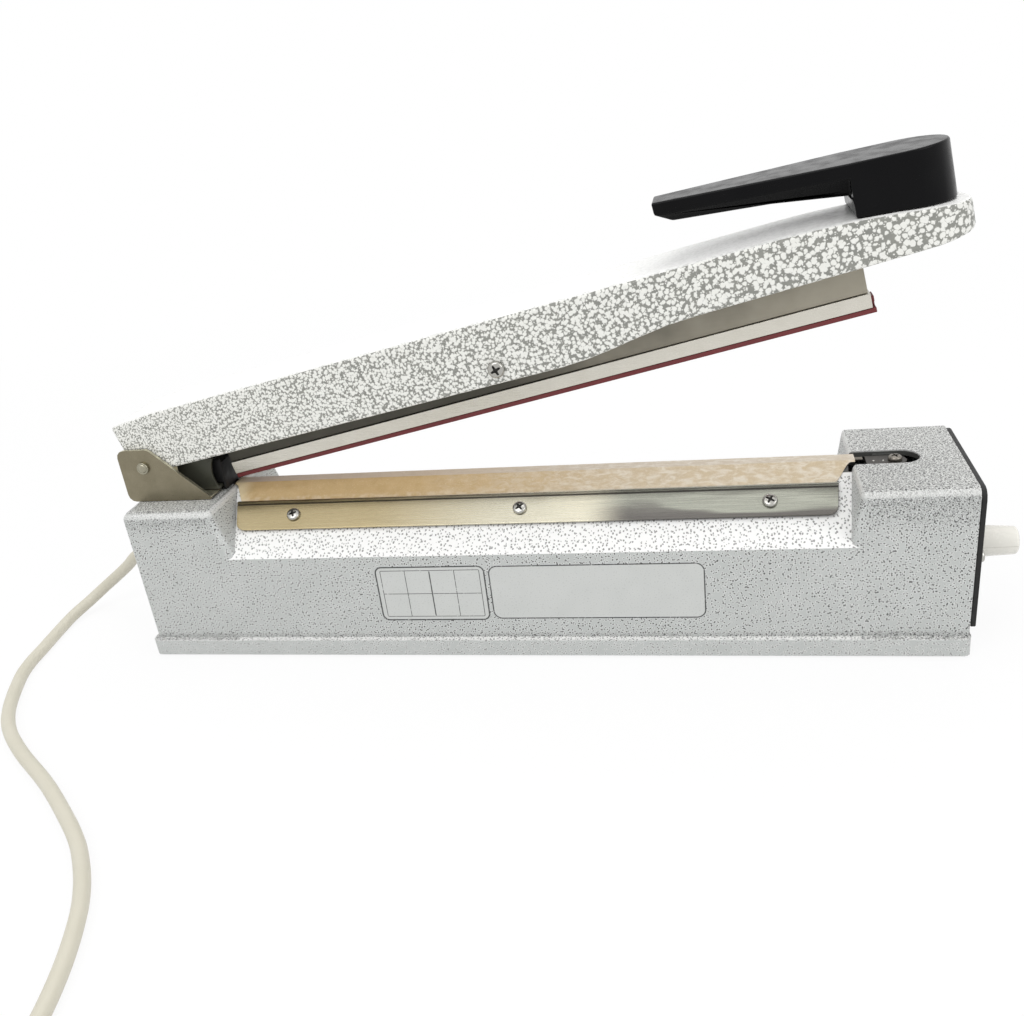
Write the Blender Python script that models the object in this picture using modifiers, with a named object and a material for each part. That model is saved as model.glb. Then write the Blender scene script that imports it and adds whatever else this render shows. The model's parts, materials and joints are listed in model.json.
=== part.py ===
"""A hand impulse heat sealer with a cast body, a hinged pressing arm and a timer knob.

Metres, +Z up, -Y is the front. The pieces are laid out from the left end of the
body's rim (X), its centre plane (Y) and its lower face (Z). At the end the whole
model is moved so that the origin is under the middle of the machine, on the surface
that it stands on. The arm is built level on its hinge and then opened.
"""

import math

import bmesh
import bpy
import numpy as np
from mathutils import Matrix, Vector

mm = 0.001
deg = math.pi / 180

# Clearances and cutters
gap = 0.3 * mm
overrun = 2 * mm
weld = 0.001 * mm
round_steps = 16
hole_steps = 12
shade_angle = 35 * deg

# Body casting: two end blocks with a sloped recess on both sides of a ridge between them
rim_length = 414.6 * mm
rim_ledge = 2.55 * mm
rim_height = 9.2 * mm
rim_corner = 3 * mm
body_width = 80 * mm
body_inset = 1.0 * mm
body_height = 83.2 * mm
body_wall = 3 * mm
body_round = 4 * mm
left_block = 58.9 * mm
right_block = 53.7 * mm
ledge_drop = 27 * mm
ridge_drop = 2 * mm
ridge_flat = 11.6 * mm
left_draft = 8.2 * mm
right_draft = 4 * mm
recess_brow = 2 * mm
recess_corner = 4 * mm
end_opening_margin = 9 * mm
end_opening_low = 17 * mm
end_opening_drop = 10.2 * mm
foot_inset = 13 * mm
boss_radius = 4.5 * mm
boss_height = 22 * mm
boss_rib = 2.5 * mm

# Bottom plate, feet and their screws
plate_thickness = 1.5 * mm
plate_recess = 3 * mm
foot_radius = 7 * mm
foot_drop = 1.5 * mm
foot_wall = 1.2 * mm
foot_screw_radius = 1.9 * mm
foot_screw_head = 3.5 * mm
foot_screw_head_height = 2 * mm
foot_screw_length = 14 * mm

# End plate, its screws, the lamp and the timer
end_plate_thickness = 2.4 * mm
end_plate_low = 13.7 * mm
end_plate_margin = 0.7 * mm
end_plate_round = 5 * mm
end_screw_height = 48 * mm
end_screw_inset = 5.8 * mm
end_screw_radius = 1.5 * mm
end_screw_head = 3 * mm
end_screw_head_height = 1.8 * mm
end_screw_length = 8 * mm
end_boss_radius = 4.2 * mm
end_boss_depth = 9 * mm
timer_height = 37.6 * mm
pot_radius = 9 * mm
pot_depth = 11 * mm
pot_wall = 2.5 * mm
shaft_radius = 3 * mm
bush_wall = 0.7 * mm
bush_length = 5.2 * mm
nut_wall = 1.5 * mm
nut_thickness = 2 * mm
knob_radius = 8 * mm
knob_taper = 1.2 * mm
knob_tip_round = 1.6 * mm
knob_length = 22.3 * mm
knob_end_wall = 8.3 * mm
lamp_drop = 22.2 * mm
lamp_radius = 4 * mm
lamp_flange_rim = 1.2 * mm
lamp_dome = 3 * mm
lamp_body_step = 0.4 * mm
lamp_body_length = 14 * mm

# Arm casting, in the arm's own level frame with the hinge pin at its origin
arm_width = 43 * mm
arm_wall = 3 * mm
arm_back = 9.6 * mm
arm_overhang = 5.9 * mm
arm_bottom = -4.5 * mm
arm_step = 7.4 * mm
arm_step_length = 64 * mm
arm_nose_length = 118.5 * mm
arm_front_bottom = 6 * mm
arm_top = 26 * mm
arm_back_fall = 2 * mm
arm_nose_fall = 7.3 * mm
arm_curve_length = 78.5 * mm
arm_solid_nose = 41.5 * mm
arm_edge = 1.6 * mm
arm_open = 11.2 * deg
arm_closed = 0.7 * deg
arm_boss_radius = 5 * mm
arm_boss_bottom = 4 * mm
pusher_radius = 3.5 * mm
bolt_z = 3 * mm
bolt_radius = 2 * mm
bolt_head_radius = 4.1 * mm
bolt_head_height = 2.4 * mm
bolt_nut_wall = 1.45 * mm
bolt_nut_thickness = 3 * mm

# Hinge bracket, pin and bracket screws
pin_x = 12 * mm
pin_rise = 19.2 * mm
pin_radius = 2.5 * mm
pin_head_rim = 0.7 * mm
pin_head_height = 1.6 * mm
cheek_back = 13.3 * mm
cheek_rise = 29 * mm
cheek_top_reach = 4.4 * mm
cheek_toe_rise = 2.2 * mm
cheek_toe_length = 4.2 * mm
cheek_overhang = 0.5 * mm
cheek_round = 4 * mm
bracket_sheet = 1.8 * mm
bracket_play = 0.7 * mm
bracket_screw_step = 7 * mm
bracket_screw_y = 12 * mm
bracket_screw_radius = 2 * mm
bracket_screw_head = 3.8 * mm
bracket_screw_head_height = 2.2 * mm
bracket_screw_length = 7 * mm

# Spring guide, return spring, switch cover, plunger and micro switch
guide_inset = 2.2 * mm
guide_play = 2.5 * mm
guide_sheet = 1.5 * mm
guide_height = 17.5 * mm
guide_curve = 2.2 * mm
guide_back = 2 * mm
spring_radius = 3.6 * mm
spring_wire = 0.9 * mm
spring_curls = 7
curl_steps = 10
spring_to_plunger = 14 * mm
plunger_inset = 7.2 * mm
plunger_radius = 2.3 * mm
plunger_stick_out = 3.5 * mm
plunger_travel = 2 * mm
plunger_in_switch = 2 * mm
cover_back = 5.6 * mm
cover_play = 2.5 * mm
cover_height = 13.5 * mm
cover_round = 1.5 * mm
cover_skirt = 1.5 * mm
switch_back = 17 * mm
switch_front = 3.4 * mm
switch_width = 10 * mm
switch_height = 16 * mm
switch_hole_depth = 4.6 * mm

# Ribbon, bed strip, cloth and clamp strips
bed_thickness = 0.8 * mm
bed_margin = 2.7 * mm
bed_width = 9 * mm
ribbon_thickness = 0.3 * mm
ribbon_width = 3 * mm
ribbon_left_reach = 5.9 * mm
ribbon_right_reach = 9.1 * mm
cloth_thickness = 0.6 * mm
cloth_left_reach = 9.3 * mm
cloth_left_tab = 1.6 * mm
cloth_left_corner = 5.3 * mm
cloth_right_reach = 5.6 * mm
cloth_right_tab = 2.2 * mm
cloth_right_corner = 9 * mm
cloth_flap = 9 * mm
strip_left_margin = 1.9 * mm
strip_right_margin = 6.2 * mm
strip_low = 16 * mm
strip_width = 16.4 * mm
strip_thickness = 1 * mm
strip_lip = 1.6 * mm
strip_corner = 4 * mm
strip_screw_up = 8 * mm
strip_screw_left = 27.3 * mm
strip_screw_right = 28.2 * mm
strip_screw_radius = 1.6 * mm
strip_screw_head = 3.5 * mm
strip_screw_head_height = 1.9 * mm
strip_screw_length = 6 * mm

# Left terminal block
block_back = 11.6 * mm
block_length = 9.4 * mm
block_width = 6.8 * mm
block_drop = 10.9 * mm
block_boss_drop = 17.2 * mm
block_boss_margin = 1.2 * mm

# Slot, tension lever, its pin, screw and spring
slot_width = 16 * mm
slot_to_end = 19 * mm
slot_depth = 9.2 * mm
lever_start = 10.6 * mm
lever_to_slot_end = 5.6 * mm
lever_play = 2.5 * mm
lever_sheet = 1.8 * mm
lever_sink = 1.6 * mm
lever_leg_to_slot_end = 15.6 * mm
lever_leg = 3 * mm
lever_leg_drop = 33.2 * mm
lever_pivot_drop = 20.2 * mm
lever_eye = 4 * mm
lever_pin_radius = 1.6 * mm
lug_play = 1 * mm
lug_sheet = 3 * mm
lug_width = 9 * mm
lug_drop = 25.7 * mm
ribbon_screw_step = 4.6 * mm
ribbon_screw_radius = 1.5 * mm
ribbon_screw_head = 3.2 * mm
ribbon_screw_head_height = 2 * mm
ribbon_screw_length = 4 * mm
anchor_inset = 8.9 * mm
anchor_size = 4 * mm
anchor_drop = 35.2 * mm
pull_spring_drop = 29.7 * mm
pull_spring_radius = 2.6 * mm
pull_spring_wire = 0.8 * mm
pull_spring_curls = 9

# Transformer, board and fuse
core_width = 62 * mm
core_height = 47 * mm
core_depth = 30 * mm
core_leg = 18 * mm
core_window_width = 12 * mm
core_window_height = 29 * mm
coil_swell = 10 * mm
board_inset = 15.9 * mm
board_length = 60 * mm
board_width = 50 * mm
board_thickness = 1.6 * mm
board_height = 8 * mm
board_leg = 5 * mm
relay_length = 19 * mm
relay_width = 15.5 * mm
relay_height = 15 * mm
capacitor_radius = 6 * mm
capacitor_height = 17 * mm
fuse_inset = 31.1 * mm
fuse_length = 26 * mm
fuse_width = 12 * mm
fuse_base = 5 * mm
fuse_cap_width = 5 * mm
fuse_cap_height = 7.5 * mm
fuse_tube_radius = 2.4 * mm

# Pressure bar, in the bar's own level frame with the bolt at its origin
bar_open = 11.8 * deg
bolt_shift = 1.3 * mm
bar_left_reach = 8.7 * mm
bar_right_reach = 13.7 * mm
bar_width = 15 * mm
bar_height = 6.5 * mm
bar_groove_width = 8.4 * mm
bar_groove_mouth = 4.6 * mm
bar_groove_depth = 3.4 * mm
bar_groove_lip = 1.2 * mm
pad_thickness = 2.2 * mm
pad_inset = 0.5 * mm
pad_stick_out = 1.5 * mm
channel_step = 1 * mm
channel_sheet = 1.2 * mm
channel_top = 5.5 * mm
channel_inset = 0.8 * mm

# Handle, in the arm's frame: heights above the arm's top, lengths back from its nose
handle_end_inset = 5.3 * mm
handle_length = 121.2 * mm
handle_post_length = 41.7 * mm
handle_inset = 1.7 * mm
handle_tip_width = 20 * mm
handle_tip_rise = 27.2 * mm
handle_end_rise = 18.3 * mm
handle_side = 5.2 * mm
handle_post_under_rise = 9.2 * mm
handle_tip_under_rise = 17.2 * mm
handle_tip_slant = 7 * mm
handle_chamfer = 8 * mm
handle_tip_chamfer = 4 * mm
handle_throat_round = 5 * mm
handle_screw_back_inset = 31.5 * mm
handle_screw_front_inset = 14.5 * mm
handle_screw_radius = 2 * mm
handle_screw_head = 3.6 * mm
handle_screw_head_height = 2.2 * mm
handle_screw_bite = 9 * mm
handle_screw_sink = 4 * mm

# Cord, strain relief and plug
cord_radius = 3.3 * mm
cord_exit_y = 12 * mm
cord_exit_z = 33 * mm
cord_steps = 36
relief_length = 26 * mm
relief_radius = 5.4 * mm
relief_flange_rim = 2.1 * mm
relief_flange_thickness = 2 * mm
coil_turns = 2.25
coil_radius = 41 * mm
coil_x = 121 * mm
coil_y = -322 * mm
coil_pitch = 7.3 * mm
coil_dip = 1.6 * mm
coil_lead_out = 30 * mm
loop_steps = 24
plug_length = 36 * mm
plug_width = 30 * mm
plug_height = 20 * mm
plug_round = 6 * mm
plug_pin_radius = 2.2 * mm
plug_pin_length = 19 * mm
plug_pin_pitch = 19 * mm

# Shapes of small things, as shares of their sizes
pan_shoulder_share = 0.35
pan_crown_share = 0.6
pan_crown_height_share = 0.94
pan_rim_share = 0.78
pan_side_share = 0.4
dome_shoulder_share = 0.8
dome_side_share = 0.3
knob_soft_share = 0.3
pin_dome_share = 0.7
plunger_soft_share = 0.25
curl_crowd_share = 0.06
arm_heel_share = 0.75
plug_neck_share = 1.6
plug_shoulder_share = 0.45
plug_corner_share = 0.33

# The cord's free stretch, chosen by hand: x, y and z of each point
cord_route = [
    (-46.0 * mm, 14.2 * mm, 22.6 * mm),
    (-58.5 * mm, 13.2 * mm, 13.8 * mm),
    (-69.0 * mm, 7.0 * mm, 6.2 * mm),
    (-74.5 * mm, -7.0 * mm, 2.6 * mm),
    (-73.6 * mm, -27.0 * mm, 1.8 * mm),
    (-71.4 * mm, -46.0 * mm, 1.8 * mm),
    (-69.0 * mm, -62.0 * mm, 1.8 * mm),
    (-56.8 * mm, -90.7 * mm, 1.8 * mm),
    (-43.6 * mm, -110.3 * mm, 1.8 * mm),
    (-24.3 * mm, -128.0 * mm, 1.8 * mm),
    (2.4 * mm, -148.1 * mm, 1.8 * mm),
    (23.7 * mm, -166.5 * mm, 1.8 * mm),
    (41.1 * mm, -183.3 * mm, 1.8 * mm),
    (53.1 * mm, -199.0 * mm, 1.8 * mm),
    (61.7 * mm, -213.6 * mm, 1.8 * mm),
    (68.4 * mm, -230.0 * mm, 1.8 * mm),
    (73.5 * mm, -247.0 * mm, 1.8 * mm),
    (77.0 * mm, -265.0 * mm, 1.8 * mm),
    (79.4 * mm, -290.0 * mm, 1.8 * mm),
]

# Places worked out from the sizes above
body_left = body_inset
body_right = rim_length - body_inset
body_half = body_width / 2
body_top = body_height
rim_half = body_half + rim_ledge
recess_start = left_block
recess_end = rim_length - right_block
block_top_end = recess_start - left_draft - recess_brow
ledge_height = body_top - ledge_drop
ridge_height = body_top - ridge_drop
ridge_half = ridge_flat / 2
roof_angle = math.atan2(ridge_height - ledge_height, body_half - ridge_half)
ceiling_z = body_top - body_wall
plate_top = plate_recess + plate_thickness
floor_z = plate_top + gap
cord_rest = cord_radius - foot_drop

end_plate_inner = body_right + gap
end_plate_outer = end_plate_inner + end_plate_thickness
end_screw_side = body_half - end_screw_inset
lamp_height = body_top - lamp_drop
bush_radius = shaft_radius + gap + bush_wall
nut_half = bush_radius + nut_wall

pin_z = body_top + pin_rise
cheek_left = pin_x - cheek_back
cheek_top = body_top + cheek_rise
cheek_top_right = pin_x + cheek_top_reach
cheek_toe_height = body_top + cheek_toe_rise
cheek_right = block_top_end + cheek_overhang
cheek_toe_left = cheek_right - cheek_toe_length
bracket_width = arm_width + 2 * (bracket_play + bracket_sheet)
bracket_base = body_top + gap
bracket_floor = bracket_base + bracket_sheet
guide_base = bracket_floor + gap
guide_floor = guide_base + guide_sheet
guide_width = arm_width - 2 * (arm_wall + guide_play)
guide_right = cheek_right - guide_inset
plunger_x = cheek_right - plunger_inset
pusher_reach = plunger_x - pin_x
arm_boss_reach = pusher_reach - spring_to_plunger
guide_left = pin_x + arm_boss_reach - guide_back
bracket_screw_x = guide_left - bracket_screw_step
cover_left = plunger_x - cover_back
cover_right = guide_right + gap + cover_skirt
cover_width = guide_width - 2 * (guide_sheet + cover_play)
cover_base = guide_floor + gap
cover_top = cover_base + cover_height
plunger_top = cover_top + plunger_stick_out
switch_left = plunger_x - switch_back
switch_right = plunger_x + switch_front

bed_base = ridge_height + gap
ribbon_base = bed_base + bed_thickness + gap
cloth_base = ribbon_base + ribbon_thickness + gap
cloth_top = cloth_base + cloth_thickness
ribbon_left = recess_start - ribbon_left_reach
ribbon_right = recess_end + ribbon_right_reach
cloth_left = recess_start - cloth_left_reach
cloth_right = recess_end + cloth_right_reach
strip_start = recess_start + strip_left_margin
strip_end = recess_end - strip_right_margin
strip_screw_first = strip_start + strip_screw_left
strip_screw_last = strip_end - strip_screw_right
bed_middle = (strip_screw_first + strip_screw_last) / 2
strip_high = strip_low + strip_width
strip_screw_along = strip_low + strip_screw_up
block_left = recess_start - block_back
block_right = block_left + block_length
bed_left = block_right + bed_margin
block_low = body_top - block_drop
block_boss_low = body_top - block_boss_drop

slot_radius = slot_width / 2
slot_right = rim_length - slot_to_end
slot_low = body_top - slot_depth
lever_width = slot_width - 2 * lever_play
lever_left = recess_end + lever_start
lever_right = slot_right - lever_to_slot_end
lever_top = body_top - lever_sink
lever_leg_x = slot_right - lever_leg_to_slot_end
lever_leg_low = body_top - lever_leg_drop
lever_pivot_z = body_top - lever_pivot_drop
lug_gap = lever_width / 2 + lug_play
lug_low = body_top - lug_drop
ribbon_screw_x = lever_leg_x + ribbon_screw_step
anchor_x = recess_end - anchor_inset
anchor_low = body_top - anchor_drop
pull_spring_z = body_top - pull_spring_drop

core_x = (recess_start + recess_end) / 2
board_right = recess_end - board_inset
board_left = board_right - board_length
fuse_left = recess_start + fuse_inset

arm_half = arm_width / 2
arm_length = rim_length + arm_overhang - pin_x
arm_step_end = arm_length - arm_nose_length
arm_straight = arm_step_end - arm_step_length
arm_top_end = arm_length - arm_curve_length
arm_hollow_end = arm_length - arm_solid_nose
arm_back_top = arm_top - arm_back_fall
arm_front_top = arm_top - arm_nose_fall
bolt_x = bed_middle + bolt_shift - pin_x

bar_back = bolt_x + pin_x - recess_start + bar_left_reach
bar_front = recess_end - pin_x - bolt_x + bar_right_reach
bar_drop = (pin_z + bolt_x * math.sin(arm_closed) + bolt_z * math.cos(arm_closed)
            - cloth_top - gap)
bar_bottom = -bar_drop
bar_low = bar_bottom + pad_thickness + gap
bar_top = bar_low + bar_height
channel_low = bar_top + gap

handle_end = arm_length - handle_end_inset
handle_tip = handle_end - handle_length
handle_post = handle_end - handle_post_length
handle_half = arm_half - handle_inset
handle_tip_top = arm_top + handle_tip_rise
handle_end_top = arm_top + handle_end_rise
handle_post_under = arm_top + handle_post_under_rise
handle_tip_under = arm_top + handle_tip_under_rise
handle_screw_places = [arm_length - handle_screw_back_inset,
                       arm_length - handle_screw_front_inset]


# Scene, materials and objects

def clear_scene():
    for obj in list(bpy.data.objects):
        bpy.data.objects.remove(obj, do_unlink=True)


def collection(name):
    made = bpy.data.collections.new(name)
    bpy.context.scene.collection.children.link(made)
    return made


def finish(name, colour, roughness, metallic=0.0):
    made = bpy.data.materials.new(name)
    made.use_nodes = True
    shader = made.node_tree.nodes["Principled BSDF"]
    shader.inputs["Base Color"].default_value = (*colour, 1.0)
    shader.inputs["Roughness"].default_value = roughness
    shader.inputs["Metallic"].default_value = metallic
    made.diffuse_color = (*colour, 1.0)
    return made


def empty(name, location, parent=None, tilt=0.0):
    """An empty that carries pieces; tilt turns it about Y, right side up."""
    made = bpy.data.objects.new(name, None)
    made.location = location
    made.rotation_euler = (0, -tilt, 0)
    made.parent = parent
    PARTS.objects.link(made)
    return made


def keep(name, mesh, finish_name, parent):
    """A named piece of the machine."""
    made = bpy.data.objects.new(name, mesh)
    mesh.materials.clear()
    mesh.materials.append(FINISHES[finish_name])
    mesh.shade_smooth()
    mesh.set_sharp_from_angle(angle=shade_angle)
    made.parent = parent
    PARTS.objects.link(made)
    return made


def tool(mesh, parent):
    """A hidden solid that cuts or joins another."""
    made = bpy.data.objects.new("tool", mesh)
    made.parent = parent
    made.hide_render = True
    made.display_type = "WIRE"
    CUTTERS.objects.link(made)
    return made


def boolean(target, mesh, operation):
    step = target.modifiers.new(operation.lower(), "BOOLEAN")
    step.object = tool(mesh, target.parent)
    step.operation = operation
    step.solver = "EXACT"


def cut(target, *meshes):
    for mesh in meshes:
        boolean(target, mesh, "DIFFERENCE")


def join(target, *meshes):
    for mesh in meshes:
        boolean(target, mesh, "UNION")


def common(target, mesh):
    boolean(target, mesh, "INTERSECT")


def bevel(target, width, segments=2, angle=30 * deg):
    step = target.modifiers.new("edges", "BEVEL")
    step.width = width
    step.segments = segments
    step.limit_method = "ANGLE"
    step.angle_limit = angle
    step.use_clamp_overlap = True


# Meshes

def mesh_from(bm, matrix=None):
    if matrix is not None:
        bmesh.ops.transform(bm, matrix=matrix, verts=bm.verts)
    bmesh.ops.recalc_face_normals(bm, faces=bm.faces)
    mesh = bpy.data.meshes.new("mesh")
    bm.to_mesh(mesh)
    bm.free()
    return mesh


def box(x0, x1, y0, y1, z0, z1):
    bm = bmesh.new()
    bmesh.ops.create_cube(bm, size=1)
    size = Matrix.Diagonal((x1 - x0, y1 - y0, z1 - z0, 1))
    middle = Matrix.Translation(((x0 + x1) / 2, (y0 + y1) / 2, (z0 + z1) / 2))
    return mesh_from(bm, middle @ size)


def along(direction):
    """The turn that takes +Z to the direction."""
    return Vector((0, 0, 1)).rotation_difference(Vector(direction)).to_matrix().to_4x4()


def cone(start, end, radius, end_radius=None, steps=round_steps, turn=0.0):
    """A round bar, or a tapered one, from start to end."""
    start, end = Vector(start), Vector(end)
    bm = bmesh.new()
    bmesh.ops.create_cone(
        bm,
        cap_ends=True,
        segments=steps,
        radius1=radius,
        radius2=radius if end_radius is None else end_radius,
        depth=(end - start).length,
    )
    spin = Matrix.Rotation(turn, 4, "Z")
    return mesh_from(bm, Matrix.Translation((start + end) / 2) @ along(end - start) @ spin)


def filled(outline, depth, holes=()):
    """A flat outline, with any holes, extruded equally to both sides of local Z = 0."""
    curve = bpy.data.curves.new("outline", "CURVE")
    curve.dimensions = "2D"
    curve.fill_mode = "BOTH"
    curve.extrude = depth / 2
    for loop in (outline, *holes):
        spline = curve.splines.new("POLY")
        spline.points.add(len(loop) - 1)
        for point, (u, v) in zip(spline.points, loop):
            point.co = (u, v, 0, 1)
        spline.use_cyclic_u = True
    guide = bpy.data.objects.new("outline", curve)
    bpy.context.scene.collection.objects.link(guide)
    bpy.context.view_layer.update()
    shaped = guide.evaluated_get(bpy.context.evaluated_depsgraph_get())
    bm = bmesh.new()
    bm.from_mesh(bpy.data.meshes.new_from_object(shaped))
    bpy.data.objects.remove(guide, do_unlink=True)
    bmesh.ops.remove_doubles(bm, verts=bm.verts, dist=weld)
    return bm


def slab(outline, low, high, holes=()):
    """An outline in X and Y, extruded from one height to another."""
    bm = filled(outline, high - low, holes)
    return mesh_from(bm, Matrix.Translation((0, 0, (low + high) / 2)))


def side_slab(outline, y0, y1, holes=()):
    """An outline in X and Z, extruded from one Y to another."""
    bm = filled(outline, y1 - y0, holes)
    upright = Matrix.Rotation(math.pi / 2, 4, "X")
    return mesh_from(bm, Matrix.Translation((0, (y0 + y1) / 2, 0)) @ upright)


def end_slab(outline, x0, x1, holes=()):
    """An outline in Y and Z, extruded from one X to another."""
    bm = filled(outline, x1 - x0, holes)
    axes = Matrix(((0, 0, 1, 0), (1, 0, 0, 0), (0, 1, 0, 0), (0, 0, 0, 1)))
    return mesh_from(bm, Matrix.Translation(((x0 + x1) / 2, 0, 0)) @ axes)


def hull(points):
    bm = bmesh.new()
    for point in points:
        bm.verts.new(point)
    found = bmesh.ops.convex_hull(bm, input=bm.verts)
    loose = [v for v in found["geom_interior"] if isinstance(v, bmesh.types.BMVert)]
    bmesh.ops.delete(bm, geom=loose, context="VERTS")
    return mesh_from(bm)


def turned(name, profile, centre, direction, finish_name, parent, steps=round_steps):
    """A profile of radius and height, from the top of its axis down and round to it."""
    mesh = bpy.data.meshes.new(name)
    edges = [(i, i + 1) for i in range(len(profile) - 1)]
    mesh.from_pydata([(r, 0, h) for r, h in profile], edges, [])
    made = keep(name, mesh, finish_name, parent)
    step = made.modifiers.new("turn", "SCREW")
    step.steps = step.render_steps = steps
    step.use_merge_vertices = True
    step.merge_threshold = weld
    made.matrix_local = Matrix.Translation(centre) @ along(direction)
    return made


def tube(name, points, radius, finish_name, parent, resolution):
    """A round wire along the points, with closed ends."""
    curve = bpy.data.curves.new(name, "CURVE")
    curve.dimensions = "3D"
    curve.bevel_depth = radius
    curve.bevel_resolution = resolution
    curve.use_fill_caps = True
    spline = curve.splines.new("POLY")
    spline.points.add(len(points) - 1)
    for point, place in zip(spline.points, points):
        point.co = (*place, 1)
    curve.materials.append(FINISHES[finish_name])
    made = bpy.data.objects.new(name, curve)
    made.parent = parent
    PARTS.objects.link(made)
    return made


# Outlines

def arc(cx, cy, radius, start, end, steps=6):
    angles = np.linspace(start, end, steps + 1)
    return [(cx + radius * math.cos(a), cy + radius * math.sin(a)) for a in angles]


def circle(cx, cy, radius, steps=hole_steps):
    return arc(cx, cy, radius, 0, 2 * math.pi, steps)[:-1]


def rounded(outline, radii, steps=3):
    """The outline with its corners rounded, each by its own radius."""
    made = []
    for i, (corner, radius) in enumerate(zip(outline, radii)):
        here = Vector(corner)
        to_last = (Vector(outline[i - 1]) - here).normalized()
        to_next = (Vector(outline[(i + 1) % len(outline)]) - here).normalized()
        if radius == 0:
            made.append(tuple(here))
            continue
        half = to_last.angle(to_next) / 2
        centre = here + (to_last + to_next).normalized() * radius / math.sin(half)
        first = here + to_last * radius / math.tan(half) - centre
        last = here + to_next * radius / math.tan(half) - centre
        swing = first.angle_signed(last)
        for k in range(steps + 1):
            a = -swing * k / steps
            turn = Matrix(((math.cos(a), -math.sin(a)), (math.sin(a), math.cos(a))))
            made.append(tuple(centre + turn @ first))
    return made


def rectangle(u0, u1, v0, v1, radius=0.0, steps=3):
    corners = [(u0, v0), (u1, v0), (u1, v1), (u0, v1)]
    return rounded(corners, [radius] * 4, steps) if radius else corners


def mirrored(half):
    """An outline of Y and Z from its right half, given from bottom to top."""
    return half + [(-y, z) for y, z in reversed(half)]


# Body

def roof_z(y, inset=0.0):
    """The height of the sloped side at a distance y from the centre plane."""
    slope = math.tan(roof_angle)
    return ledge_height + (body_half - abs(y)) * slope - inset / math.cos(roof_angle)


def on_roof(side, along_slope, out):
    """Y and Z of a place on a sloped side: up the slope from its ledge, and out from it."""
    up = Vector((math.cos(roof_angle), math.sin(roof_angle)))
    normal = Vector((-math.sin(roof_angle), math.cos(roof_angle)))
    spot = Vector((-body_half, ledge_height)) + up * along_slope + normal * out
    return (spot.x * side, spot.y)


def roof_normal(side):
    return Vector((0, -math.sin(roof_angle) * side, math.cos(roof_angle)))


def applied(obj):
    """The mesh of an object with its modifiers; the object itself is taken away."""
    bpy.context.view_layer.update()
    shaped = obj.evaluated_get(bpy.context.evaluated_depsgraph_get())
    mesh = bpy.data.meshes.new_from_object(shaped)
    for step in list(obj.modifiers):
        bpy.data.objects.remove(step.object, do_unlink=True)
    bpy.data.objects.remove(obj, do_unlink=True)
    return mesh


def lean_out(mesh):
    """Moves a mesh's ends outwards with height, as the recess's ends lean."""
    for v in mesh.vertices:
        share = (v.co.z - ledge_height) / ledge_drop
        v.co.x += share * (right_draft if v.co.x > rim_length / 2 else -left_draft)
    return mesh


def recess_end_line(height, outer):
    """Half of a recess end in plan at one height: X past the recess and Y, middle to side."""
    above = min(max(height - (body_top - recess_brow), 0), recess_brow)
    past = recess_brow - math.sqrt(recess_brow ** 2 - above ** 2)
    straight = body_half - recess_corner
    swing = arc(past + recess_corner, straight, recess_corner, math.pi, math.pi / 2, 4)
    return swing + [(past + recess_corner, outer)]


def recess_tool():
    """The room over both slopes: round at the blocks' corners, its ends leaning outwards."""
    outer = body_half + overrun
    brow = body_top - recess_brow
    heights = [ledge_height - overrun, brow]
    heights += [brow + recess_brow * math.sin(k * math.pi / 6) for k in (1, 2, 3)]
    heights.append(body_top + overrun)
    bm = bmesh.new()
    rings = []
    for height in heights:
        half = recess_end_line(height, outer)
        right = [(recess_end + u, -v) for u, v in reversed(half)]
        right += [(recess_end + u, v) for u, v in half]
        left = [(recess_start - u, v) for u, v in reversed(half)]
        left += [(recess_start - u, -v) for u, v in half]
        rings.append([bm.verts.new((x, y, height)) for x, y in right + left])
    for low, high in zip(rings, rings[1:]):
        for k in range(len(low)):
            n = (k + 1) % len(low)
            bm.faces.new((low[k], low[n], high[n], high[k]))
    bm.faces.new(rings[0])
    bm.faces.new(rings[-1])
    room = tool(lean_out(mesh_from(bm)), None)
    top = body_top + 2 * overrun
    wide = outer + overrun
    half = [(ridge_half, ridge_height), (wide, roof_z(wide)), (wide, top)]
    reach = left_draft + recess_brow + recess_corner + 2 * overrun
    common(room, end_slab(half + [(-y, z) for y, z in reversed(half)],
                          recess_start - reach, recess_end + reach))
    return applied(room)


def hollow_half():
    inner = body_half - body_wall
    low_ridge = ridge_height - body_wall
    slope = math.tan(roof_angle)
    flat = inner - (low_ridge - roof_z(inner, body_wall)) / slope
    return [(inner, -overrun), (inner, roof_z(inner, body_wall)), (flat, low_ridge)]


def make_body(root):
    inner = body_half - body_wall
    left, right = body_left + body_wall, body_right - body_wall
    shell = box(body_left, body_right + overrun + body_round, -body_half, body_half,
                rim_height / 2, body_top)
    body = keep("body_casting", shell, "grey_paint", root)
    bevel(body, body_round, 3, 30 * deg)
    cut(body, recess_tool())
    far = body_right + overrun + body_round
    cut(body, box(body_right, far + overrun, -rim_half, rim_half, -overrun, body_top + overrun))
    rim = rectangle(0, rim_length, -rim_half, rim_half, rim_corner)
    join(body, slab(rim, 0, rim_height))
    cut(body, end_slab(mirrored(hollow_half()), left, right))
    back = recess_start - left_draft - body_wall
    cut(body, box(left, back, -inner, inner, rim_height, ceiling_z))
    front = recess_end + right_draft + body_wall
    cut(body, box(front, right, -inner, inner, rim_height, ceiling_z))
    side = body_half - end_opening_margin
    cut(body, box(right - overrun, body_right + overrun, -side, side,
                  end_opening_low, body_top - end_opening_drop))
    add_bottom_bosses(body)
    add_end_bosses(body)
    add_terminal_notch(body)
    add_lever_slot(body)
    add_small_holes(body)
    return body


def foot_places():
    x0, x1 = body_left + foot_inset, body_right - foot_inset
    y = body_half - foot_inset
    return [(x0, -y), (x1, -y), (x0, y), (x1, y)]


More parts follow.
